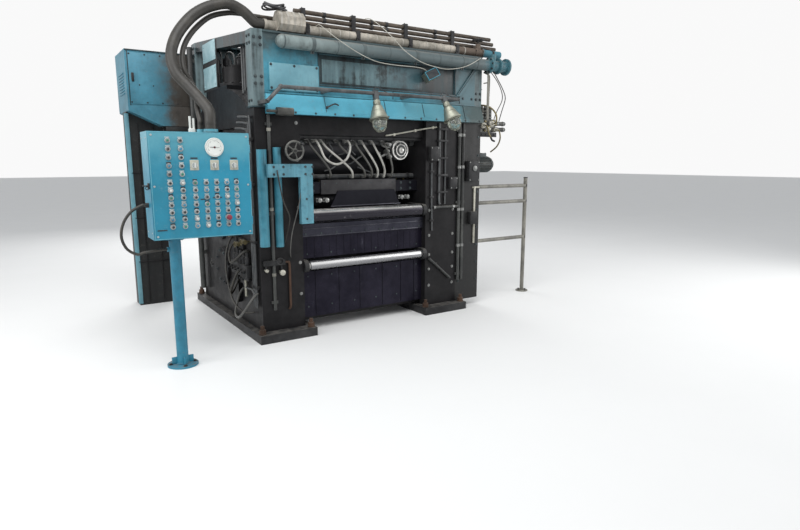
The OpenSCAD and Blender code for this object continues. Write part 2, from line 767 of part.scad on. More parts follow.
// Valves and drives: the cylinder on the apron, the manifold past the drive
// side post with its solenoids and riser, and the geared motor below them
module valves() {
    ram_y = front_y - apron_d - 41;
    ram_x = beam_x0 + 60;
    ram_z = apron_z + 15;
    block_x = shelf_x + 240;
    motor_z = 1600;
    color(dark_steel) {
        bar_x(ram_x, ram_x + 150, ram_y, ram_z, 70);
        bar_x(ram_x - 90, ram_x + 1, ram_y, ram_z, 26);
        block([ram_x + 60, ram_y, ram_z - 10], [ram_x + 100, front_y - apron_d, ram_z + 10]);
        block([shelf_x, front_y + 20, shoulder_z - 140], [block_x, front_y + 150, shoulder_z]);
        for (x = [shelf_x + 80, shelf_x + 140, shelf_x + 200])
            translate([x, front_y + 85, shoulder_z - 1]) cylinder(h = 130, d = 50);
        for (z = [shoulder_z - 105, shoulder_z - 40])
            bar_x(block_x - 1, block_x + 190, front_y + 85, z, 46);
        translate([shelf_x + 30, front_y + 85, shoulder_z - 1]) cylinder(h = 500, d = 34);
        block([shelf_x, front_y + chase_d - 40, motor_z - 90], [shelf_x + 60, front_y + chase_d + 100, motor_z + 90]);
        bar_x(shelf_x + 59, shelf_x + 340, front_y + chase_d + 30, motor_z, 160);
        bar_x(shelf_x + 339, shelf_x + 370, front_y + chase_d + 30, motor_z, 110);
    }
}

// Tube guard beside the drive side post
module guard_frame() {
    guard_y = front_y + chase_d - 6;
    near_x = shelf_x + 80;
    far_x = shelf_x + 930;
    tube = 44;
    color(grey_blue) {
        translate([near_x, guard_y, 680]) cylinder(h = 760, d = tube);
        translate([far_x, guard_y, 0]) cylinder(h = 1430, d = 48);
        translate([far_x, guard_y, 0]) cylinder(h = 14, d = 150);
        for (z = [700, 1150, 1340]) bar_x(shelf_x, far_x, guard_y, z, tube);
    }
}

// Places its children in the frame of the control panel: its front face is
// y = 0 there, and z = 0 is its underside
module at_panel() {
    translate(panel_at) rotate([0, 0, panel_turn]) children();
}

// The same as a point, for the hoses
function on_panel(p, z) = [
    panel_at[0] + p[0] * cos(panel_turn) - p[1] * sin(panel_turn),
    panel_at[1] + p[0] * sin(panel_turn) + p[1] * cos(panel_turn),
    panel_z + z
];

// Panel box with its door, and the glands of the hoses on its top
module control_panel() {
    door = 12;
    color(blue) at_panel() {
        block([-panel_w / 2, door - 1, 0], [panel_w / 2, panel_d, panel_h]);
        block([-panel_w / 2 + 8, 0, 8], [panel_w / 2 - 8, door, panel_h - 8]);
        translate([big_gland[0], big_gland[1], panel_h - 1]) cylinder(h = gland_h + 1, d = 110);
        translate([small_gland[0], small_gland[1], panel_h - 1]) cylinder(h = gland_h + 1, d = 60);
    }
}

// Round post under the panel, with its foot and the gland of the cable
module panel_pedestal() {
    cable_z = -90;
    color(blue) at_panel() translate([pedestal_at, panel_d / 2, 0]) {
        translate([0, 0, -panel_z]) cylinder(h = panel_z, d = pedestal_d);
        translate([0, 0, -panel_z]) cylinder(h = 16, d = 240);
        translate([0, 0, -14]) cylinder(h = 14, d = pedestal_d + 60);
        bar_x(-pedestal_d / 2 - 15, 0, 0, cable_z, 40);
    }
}

// Dial near the top of the panel
module panel_dial() {
    color([0.9, 0.9, 0.88]) at_panel() {
        bar_y(-10, 0, dial_x, dial_z, 140);
        bar_y(-16, -9, dial_x, dial_z, 126);
    }
}
dial_x = 0.13 * panel_w;
dial_z = 0.86 * panel_h;

// Push buttons in seven columns and rows, two short columns above them and
// three selector switches, each on its bezel
button_us = [-0.32, -0.20, -0.08, 0.03, 0.135, 0.24, 0.34];
module push_button(x, z, d) {
    bar_y(-5, 0, x, z, d + 10);
    bar_y(-18, -4, x, z, d);
}
module panel_controls() {
    row = 0.068 * panel_h;
    color(steel) at_panel() {
        for (u = button_us) for (j = [0 : 6])
            push_button(u * panel_w, 0.12 * panel_h + row * j, (u == 0.24 && j == 1) ? 40 : 24);
        for (u = [button_us[0], button_us[1]]) for (j = [0 : 4])
            push_button(u * panel_w, 0.61 * panel_h + 0.077 * panel_h * j, 24);
        for (u = [-0.075, 0.126, 0.326]) {
            bar_y(-6, 0, u * panel_w, 0.69 * panel_h, 44);
            block([u * panel_w - 7, -26, 0.69 * panel_h - 20], [u * panel_w + 7, -5, 0.69 * panel_h + 20]);
        }
    }
}

// Thick hoses from the ends of two top pipes to the glands of the panel: the
// lowest points of each stand plumb over its gland, the first lie along the pipe
big_hose_d = 90;
small_hose_d = 44;
gland_z = panel_h + gland_h;
module panel_hoses() {
    y1 = lagged_y;
    z1 = lagged_z;
    y2 = slim_y;
    z2 = slim_zs[0];
    color(rubber) {
        sweep(spline([
            [pipe_x0, y1, z1], [pipe_x0 - 20, y1, z1], [pipe_x0 - 40, y1, z1], [pipe_x0 - 75, y1, z1 + 8],
            [-1170, y1 + 13, z1 + 88], [-1290, y1 + 20, z1 + 130],
            [-1430, y1 + 20, z1 + 95], [-1560, -890, 2820], [-1670, -905, 2710], [-1750, -930, 2590],
            [-1790, -955, 2460], [-1770, -990, 2330], [-1700, -1040, 2230], [-1630, -1105, 2130],
            [-1583, -1182, 2030], on_panel(big_gland, gland_z + 60), on_panel(big_gland, gland_z + 30),
            on_panel(big_gland, gland_z)
        ], 3), big_hose_d / 2, [0, 1, 0], 12);
        sweep(spline([
            [pipe_x0, y2, z2], [pipe_x0 - 20, y2, z2], [pipe_x0 - 40, y2, z2], [pipe_x0 - 80, y2, z2 + 2],
            [-1180, y2 + 12, z2 + 10], [-1290, y2 + 18, z2], [-1430, y2 + 14, z2 - 50], [-1560, -835, 2710], [-1650, -870, 2590], [-1690, -895, 2480],
            [-1690, -930, 2360], [-1628, -942, 2240], [-1627, -998, 2140], [-1642, -1070, 2050],
            on_panel(small_gland, gland_z + 70), on_panel(small_gland, gland_z + 35),
            on_panel(small_gland, gland_z)
        ], 3), small_hose_d / 2, [0, 1, 0], 10);
    }
}

// Cable that loops from the left side of the panel to its post
module panel_cable() {
    x0 = -panel_w / 2;
    x1 = pedestal_at - pedestal_d / 2 - 15;
    y = panel_d / 2;
    color(rubber) at_panel() sweep(spline([
        [x0, y, 260], [x0 - 25, y, 260], [x0 - 50, y, 260], [x0 - 130, y - 5, 215],
        [x0 - 190, y - 10, 130], [x0 - 210, y - 12, 30], [x0 - 180, y - 12, -60],
        [x0 - 110, y - 6, -110], [x0 - 50, y, -100], [x1 - 30, y, -90], [x1 - 15, y, -90], [x1, y, -90]
    ], 3), 11, [0, 1, 0]);
}

// Cabinet behind the rear left corner post and the column it stands on
cabinet_x0 = -outer_x - 690;
cabinet_x1 = -outer_x + 50;
cabinet_knee = -outer_x - 360;
cabinet_z0 = 2020;
cabinet_z1 = cabinet_z0 + 150;
module rear_cabinet() {
    color(blue) along_y(rear_y, 600)
        polygon([
            [cabinet_x0, cabinet_z1], [cabinet_x0, top_z + 50], [cabinet_x1, top_z + 50],
            [cabinet_x1, cabinet_z0], [cabinet_knee, cabinet_z0]
        ]);
}

module cabinet_column() {
    color(grease) along_y(rear_y + 170, 220)
        polygon([
            [cabinet_x0 - 10, 0], [cabinet_x0, cabinet_z1], [cabinet_knee, cabinet_z0],
            [cabinet_knee + 40, cabinet_z0], [cabinet_knee + 40, 0]
        ]);
}

left_housing();
right_housing();
sole_plates();
cross_ties();
backup_rolls();
work_rolls();
backup_chocks();
work_chocks();
screw_cylinders();
upper_guide_roll();
lower_guide_roll();
guide_roll_bearings();
strip_tables();
drip_plates();
header_plates();
spray_header();
spray_hoses();
l_bracket();
post_covers();
handwheel();
handwheel_box();
corner_posts();
front_beam();
beam_apron();
rear_beam();
side_rails();
accumulators();
drive_shelf();
exhaust_duct();
top_pipes();
slim_pipes();
pipe_saddles();
lamp_rail();
work_lamps();
lamp_globes();
vertical_pipes();
valves();
guard_frame();
control_panel();
panel_pedestal();
panel_dial();
panel_controls();
panel_hoses();
panel_cable();
rear_cabinet();
cabinet_column();
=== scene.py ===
"""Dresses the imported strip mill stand: its finishes, fittings, lamps and stage."""

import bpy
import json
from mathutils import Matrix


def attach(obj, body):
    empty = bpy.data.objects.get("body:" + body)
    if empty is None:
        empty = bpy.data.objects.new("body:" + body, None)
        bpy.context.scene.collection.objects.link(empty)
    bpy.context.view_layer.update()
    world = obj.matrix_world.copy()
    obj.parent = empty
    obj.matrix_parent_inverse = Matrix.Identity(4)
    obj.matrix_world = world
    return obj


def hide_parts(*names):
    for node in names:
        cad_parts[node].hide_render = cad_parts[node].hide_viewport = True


bl_info = {
    "name": "Strip mill stand",
    "version": (1, 0, 0),
    "blender": (4, 5, 0),
    "location": "3D View > Sidebar > Mill",
    "description": "Paints the mill stand and adds its fittings",
    "category": "Object",
}

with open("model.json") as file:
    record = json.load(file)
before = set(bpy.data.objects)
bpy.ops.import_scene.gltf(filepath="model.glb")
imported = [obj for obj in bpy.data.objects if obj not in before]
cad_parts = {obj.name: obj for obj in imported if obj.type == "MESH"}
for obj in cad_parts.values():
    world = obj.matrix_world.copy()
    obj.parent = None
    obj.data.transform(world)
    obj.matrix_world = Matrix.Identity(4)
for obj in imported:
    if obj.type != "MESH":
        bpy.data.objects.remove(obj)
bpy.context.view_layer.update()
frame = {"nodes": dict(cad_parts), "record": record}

import json
import math
from itertools import product

import bmesh
import bpy
from bpy.props import FloatProperty, FloatVectorProperty, PointerProperty
from mathutils import Matrix, Vector

BODY = "stand"
FULL = 2 * math.pi
X, Y, Z = Vector((1, 0, 0)), Vector((0, 1, 0)), Vector((0, 0, 1))
FRONT = -Y


# Settings
def colour(name, about, value):
    return FloatVectorProperty(
        name=name, description=about, subtype="COLOR", size=3, min=0, max=1, default=value
    )


def length(name, about, value):
    return FloatProperty(name=name, description=about, unit="LENGTH", min=0, default=value)


class MillColours(bpy.types.PropertyGroup):
    """Paints and metals of the stand"""

    blue: colour("Machine blue", "Paint of the beams and brackets", (0.085, 0.33, 0.43))
    # Shaded blue is the machine blue as seen in dim light; worn_paint lays it in random patches, as
    # painted shade
    blue_shade: colour("Shaded blue", "The same paint under oil", (0.03, 0.14, 0.19))
    faded: colour("Faded blue", "Paint of the motor and the guard", (0.085, 0.095, 0.095))
    panel: colour("Panel blue", "Enamel of the control panel", (0.024, 0.235, 0.355))
    grease: colour("Grease", "Oil and dust on the castings", (0.0085, 0.0083, 0.009))
    dust: colour("Dust", "Dry dust on level faces", (0.16, 0.15, 0.135))
    steel: colour("Steel", "Bare ground steel", (0.5, 0.5, 0.49))
    lagging: colour("Lagging", "Wrapped pipe on the beam", (0.46, 0.42, 0.36))
    floor: colour("Floor", "Pale floor of the stage", (0.8, 0.8, 0.79))


class MillSizes(bpy.types.PropertyGroup):
    """Sizes of the fittings"""

    bolt: length("Bolt head", "Across the corners of a large bolt head", 0.034)
    small_bolt: length("Small bolt head", "Across the corners of a small bolt head", 0.02)
    eye: length("Eye height", "Height of the camera over the floor", 1.65)


# Shader sums
class Link:
    """A shader socket that takes part in Python sums"""

    def __init__(self, finish, socket):
        self.finish, self.socket = finish, socket

    def sum(self, operation, *others):
        values = {i: v for i, v in enumerate((self, *others))}
        return self.finish.node("ShaderNodeMath", {"operation": operation}, values)

    def __add__(self, other):
        return self.sum("ADD", other)

    def __sub__(self, other):
        return self.sum("SUBTRACT", other)

    def __mul__(self, other):
        return self.sum("MULTIPLY", other)

    def __rsub__(self, other):
        return self.finish.node("ShaderNodeMath", {"operation": "SUBTRACT"}, {0: other, 1: self})

    __radd__, __rmul__ = __add__, __mul__

    def clip(self):
        return self.finish.node(
            "ShaderNodeMath", {"operation": "ADD", "use_clamp": True}, {0: self, 1: 0.0}
        )

    def step(self, low, high):
        """0 below low, 1 above high, smooth between"""
        settings = {"interpolation_type": "SMOOTHSTEP"}
        return self.finish.node(
            "ShaderNodeMapRange", settings, {"Value": self, "From Min": low, "From Max": high}
        )


class Finish:
    """A procedural material under construction"""

    def __init__(self, name, **fixed):
        self.material = bpy.data.materials.new(name)
        self.material.use_nodes = True
        self.tree = self.material.node_tree
        self.shader = self.tree.nodes["Principled BSDF"]
        for socket, value in fixed.items():
            self.shader.inputs[socket.replace("_", " ")].default_value = value

    def node(self, kind, settings=None, values=None, out=0):
        """Makes a node: its settings first, then the values or links of its sockets"""
        made = self.tree.nodes.new(kind)
        for key, value in (settings or {}).items():
            if key == "stops":
                ramp = made.color_ramp.elements
                while len(ramp) < len(value):
                    ramp.new(0.5)
                for element, (at, shade) in zip(ramp, value):
                    element.position, element.color = at, (*shade, 1)
            else:
                setattr(made, key, value)
        for key, value in (values or {}).items():
            socket = made.inputs[key]
            if isinstance(value, Link):
                self.tree.links.new(value.socket, socket)
            elif socket.type == "RGBA":
                socket.default_value = (*value, 1) if len(value) == 3 else value
            else:
                socket.default_value = value
        return Link(self, made.outputs[out])

    def place(self, stretch=(1, 1, 1)):
        at = self.node("ShaderNodeTexCoord", out="Object")
        return self.node("ShaderNodeMapping", None, {"Vector": at, "Scale": stretch})

    def noise(self, scale, detail=4.0, rough=0.55, stretch=(1, 1, 1)):
        values = {"Vector": self.place(stretch), "Scale": scale, "Detail": detail,
            "Roughness": rough}
        return self.node("ShaderNodeTexNoise", {"noise_dimensions": "3D"}, values)

    def along(self, axis):
        """Place in metres along axis 0, 1 or 2 of the stand"""
        at = self.node("ShaderNodeTexCoord", out="Object")
        return self.node("ShaderNodeSeparateXYZ", None, {0: at}, out=axis)

    def normal_z(self):
        """1 where a face looks up, -1 where it looks down"""
        geometry = self.node("ShaderNodeNewGeometry", out="Normal")
        return self.node("ShaderNodeSeparateXYZ", None, {0: geometry}, out=2)

    def facing_up(self):
        """1 on level faces that look up, 0 on walls"""
        return self.normal_z().step(0.45, 0.9)

    def blend(self, amount, low, high):
        """Colour low where amount is 0 and high where it is 1"""
        made = self.tree.nodes.new("ShaderNodeMix")
        made.data_type = "RGBA"
        for socket, value in zip((made.inputs[i] for i in (0, 6, 7)), (amount, low, high)):
            if isinstance(value, Link):
                self.tree.links.new(value.socket, socket)
            elif socket.type == "RGBA":
                socket.default_value = (*value[:3], 1)
            else:
                socket.default_value = value
        return Link(self, made.outputs[2])

    def wire(self, socket, value):
        self.tree.links.new(value.socket, self.shader.inputs[socket])

    def bump(self, height, depth, strength=0.5):
        values = {"Height": height, "Distance": depth, "Strength": strength}
        self.wire("Normal", self.node("ShaderNodeBump", None, values))


def worn_paint(name, base, shade, grime, dust, gloss=0.35, dirt=0.5, runs=0.5, patch=2.0, fades=()):
    """Old paint: mottled, with oily grime, dark runs down the walls, chips and dust"""
    paint = Finish(name, Specular_IOR_Level=0.32)
    cloud = paint.noise(patch, 6, 0.62)
    blotch = paint.noise(patch * 4.3, 5, 0.6)
    drip = paint.noise(11.0, 4, 0.6, (1, 1, 0.07))
    speck = paint.noise(120.0, 3, 0.7)
    fine = paint.noise(38.0, 4, 0.65)
    # The mottle lays the shade colour in random patches; for the machine blue that colour is
    # painted shade
    tone = (cloud * 0.65 + blotch * 0.35).step(0.36, 0.66)
    skin = paint.blend(tone, shade, base)
    for axis, near, far, other in fades:
        skin = paint.blend((paint.along(axis) + blotch * 0.4).step(near, far), skin, other)
    skin = paint.blend(fine.step(0.55, 0.8) * 0.35, skin, dust)
    oily = (cloud * 0.5 + drip * runs + blotch * 0.35).step(0.86 - dirt * 0.5, 1.12 - dirt * 0.5)
    skin = paint.blend(oily * 0.9, skin, grime)
    chips = speck.step(0.66, 0.71) * blotch.step(0.5, 0.62)
    skin = paint.blend(chips * 0.8, skin, grime)
    settled = paint.facing_up() * fine.step(0.3, 0.65)
    skin = paint.blend(settled * 0.65, skin, dust)
    paint.wire("Base Color", skin)
    paint.wire("Roughness", (gloss + fine * 0.22 + settled * 0.3 - oily * 0.12).clip())
    paint.bump(speck * 0.3 + blotch * 0.6 + oily * 0.5 - chips * 0.6, 0.0012, 0.6)
    return paint.material


def oily_metal(name, base, sheen, dust, rough=0.42, metal=0.3, runs=0.5, residue=0.25):
    """Dark metal under oil and drips, with dry pale residue and dust on level faces"""
    metal_skin = Finish(name, Specular_IOR_Level=0.16)
    cloud = metal_skin.noise(3.1, 6, 0.65)
    blotch = metal_skin.noise(13.0, 5, 0.6)
    drip = metal_skin.noise(16.0, 4, 0.6, (1, 1, 0.06))
    grit = metal_skin.noise(95.0, 4, 0.7)
    tone = (cloud * 0.6 + blotch * 0.4).step(0.35, 0.68)
    skin = metal_skin.blend(tone, base, sheen)
    pale = (drip * runs + grit * 0.35 + blotch * 0.3).step(0.98 - residue, 1.22 - residue)
    skin = metal_skin.blend(pale * 0.55, skin, dust)
    settled = metal_skin.facing_up() * blotch.step(0.35, 0.62)
    skin = metal_skin.blend(settled * 0.55, skin, dust)
    metal_skin.wire("Base Color", skin)
    metal_skin.wire("Metallic", (metal - pale * 0.2 - settled * 0.2).clip())
    metal_skin.wire("Roughness", (rough + grit * 0.2 - tone * 0.1 + settled * 0.3).clip())
    metal_skin.bump(grit * 0.4 + blotch * 0.5 + drip * 0.3, 0.0018, 0.6)
    return metal_skin.material


def turned_steel(name, base, mark, rough=0.2, spots=0.5, under=None, turn=(0.35, 1.0)):
    """Ground steel with fine rings round X, thin oil marks and spots; an under colour adds painted
    shade on the faces that look down
    """
    steel = Finish(name, Specular_IOR_Level=0.5)
    rings = steel.noise(6.0, 3, 0.6, (40, 0.4, 0.4))
    smear = steel.noise(3.0, 5, 0.65, (0.6, 4, 4))
    spot = steel.noise(42.0, 4, 0.6)
    skin = steel.blend(smear.step(0.42, 0.7) * 0.6, base, mark)
    # Painted shade: faces that look down take the under colour, faces that look up keep the steel
    # colour
    if under:
        skin = steel.blend((steel.normal_z() + smear * 0.4).step(*turn), under, skin)
    skin = steel.blend(spot.step(0.62, 0.74) * spots, skin, mark)
    steel.wire("Base Color", skin)
    steel.wire("Metallic", (0.97 - spot.step(0.62, 0.74) * spots * 0.6).clip())
    steel.wire("Roughness", (rough + rings * 0.14 + smear * 0.12).clip())
    steel.bump(rings, 0.0002, 0.5)
    return steel.material


def plain_stuff(name, base, mark, rough=0.5, grain=60.0, depth=0.0004, metal=0.0):
    """Plastic, rubber or wrap: an even colour with soft marks and a fine grain"""
    stuff = Finish(name, Metallic=metal)
    cloud = stuff.noise(9.0, 5, 0.6)
    fine = stuff.noise(grain, 4, 0.65)
    skin = stuff.blend(cloud.step(0.4, 0.75) * 0.6, base, mark)
    skin = stuff.blend(fine.step(0.55, 0.75) * 0.3, skin, mark)
    stuff.wire("Base Color", skin)
    stuff.wire("Roughness", (rough + fine * 0.2).clip())
    stuff.bump(fine, depth, 0.6)
    return stuff.material


def wrapped_pipe(name, base, mark, copper, blue):
    """Cloth lagging along X that ends in a copper sleeve and a blue pipe"""
    wrap = Finish(name, Specular_IOR_Level=0.4)
    place = wrap.along(0)
    cloud = wrap.noise(6.0, 5, 0.65)
    weave = wrap.noise(30.0, 4, 0.6, (3, 1, 1))
    skin = wrap.blend(cloud.step(0.36, 0.66), mark, base)
    skin = wrap.blend(weave.step(0.5, 0.75) * 0.5, skin, mark)
    skin = wrap.blend((place + cloud * 0.08).step(1.16, 1.2), skin, copper)
    skin = wrap.blend((place + cloud * 0.08).step(1.52, 1.55), skin, blue)
    wrap.wire("Base Color", skin)
    wrap.wire("Roughness", (0.55 + weave * 0.3).clip())
    wrap.bump(weave * 0.6 + cloud * 0.4, 0.002, 0.6)
    return wrap.material


def clear_glass(name, tint, smudged):
    glass = Finish(name, Transmission_Weight=0.85, IOR=1.45, Roughness=0.12)
    smudge = glass.noise(30.0, 4, 0.6)
    glass.wire("Base Color", glass.blend(smudge.step(0.4, 0.8) * 0.5, tint, smudged))
    return glass.material


SKINS = {}


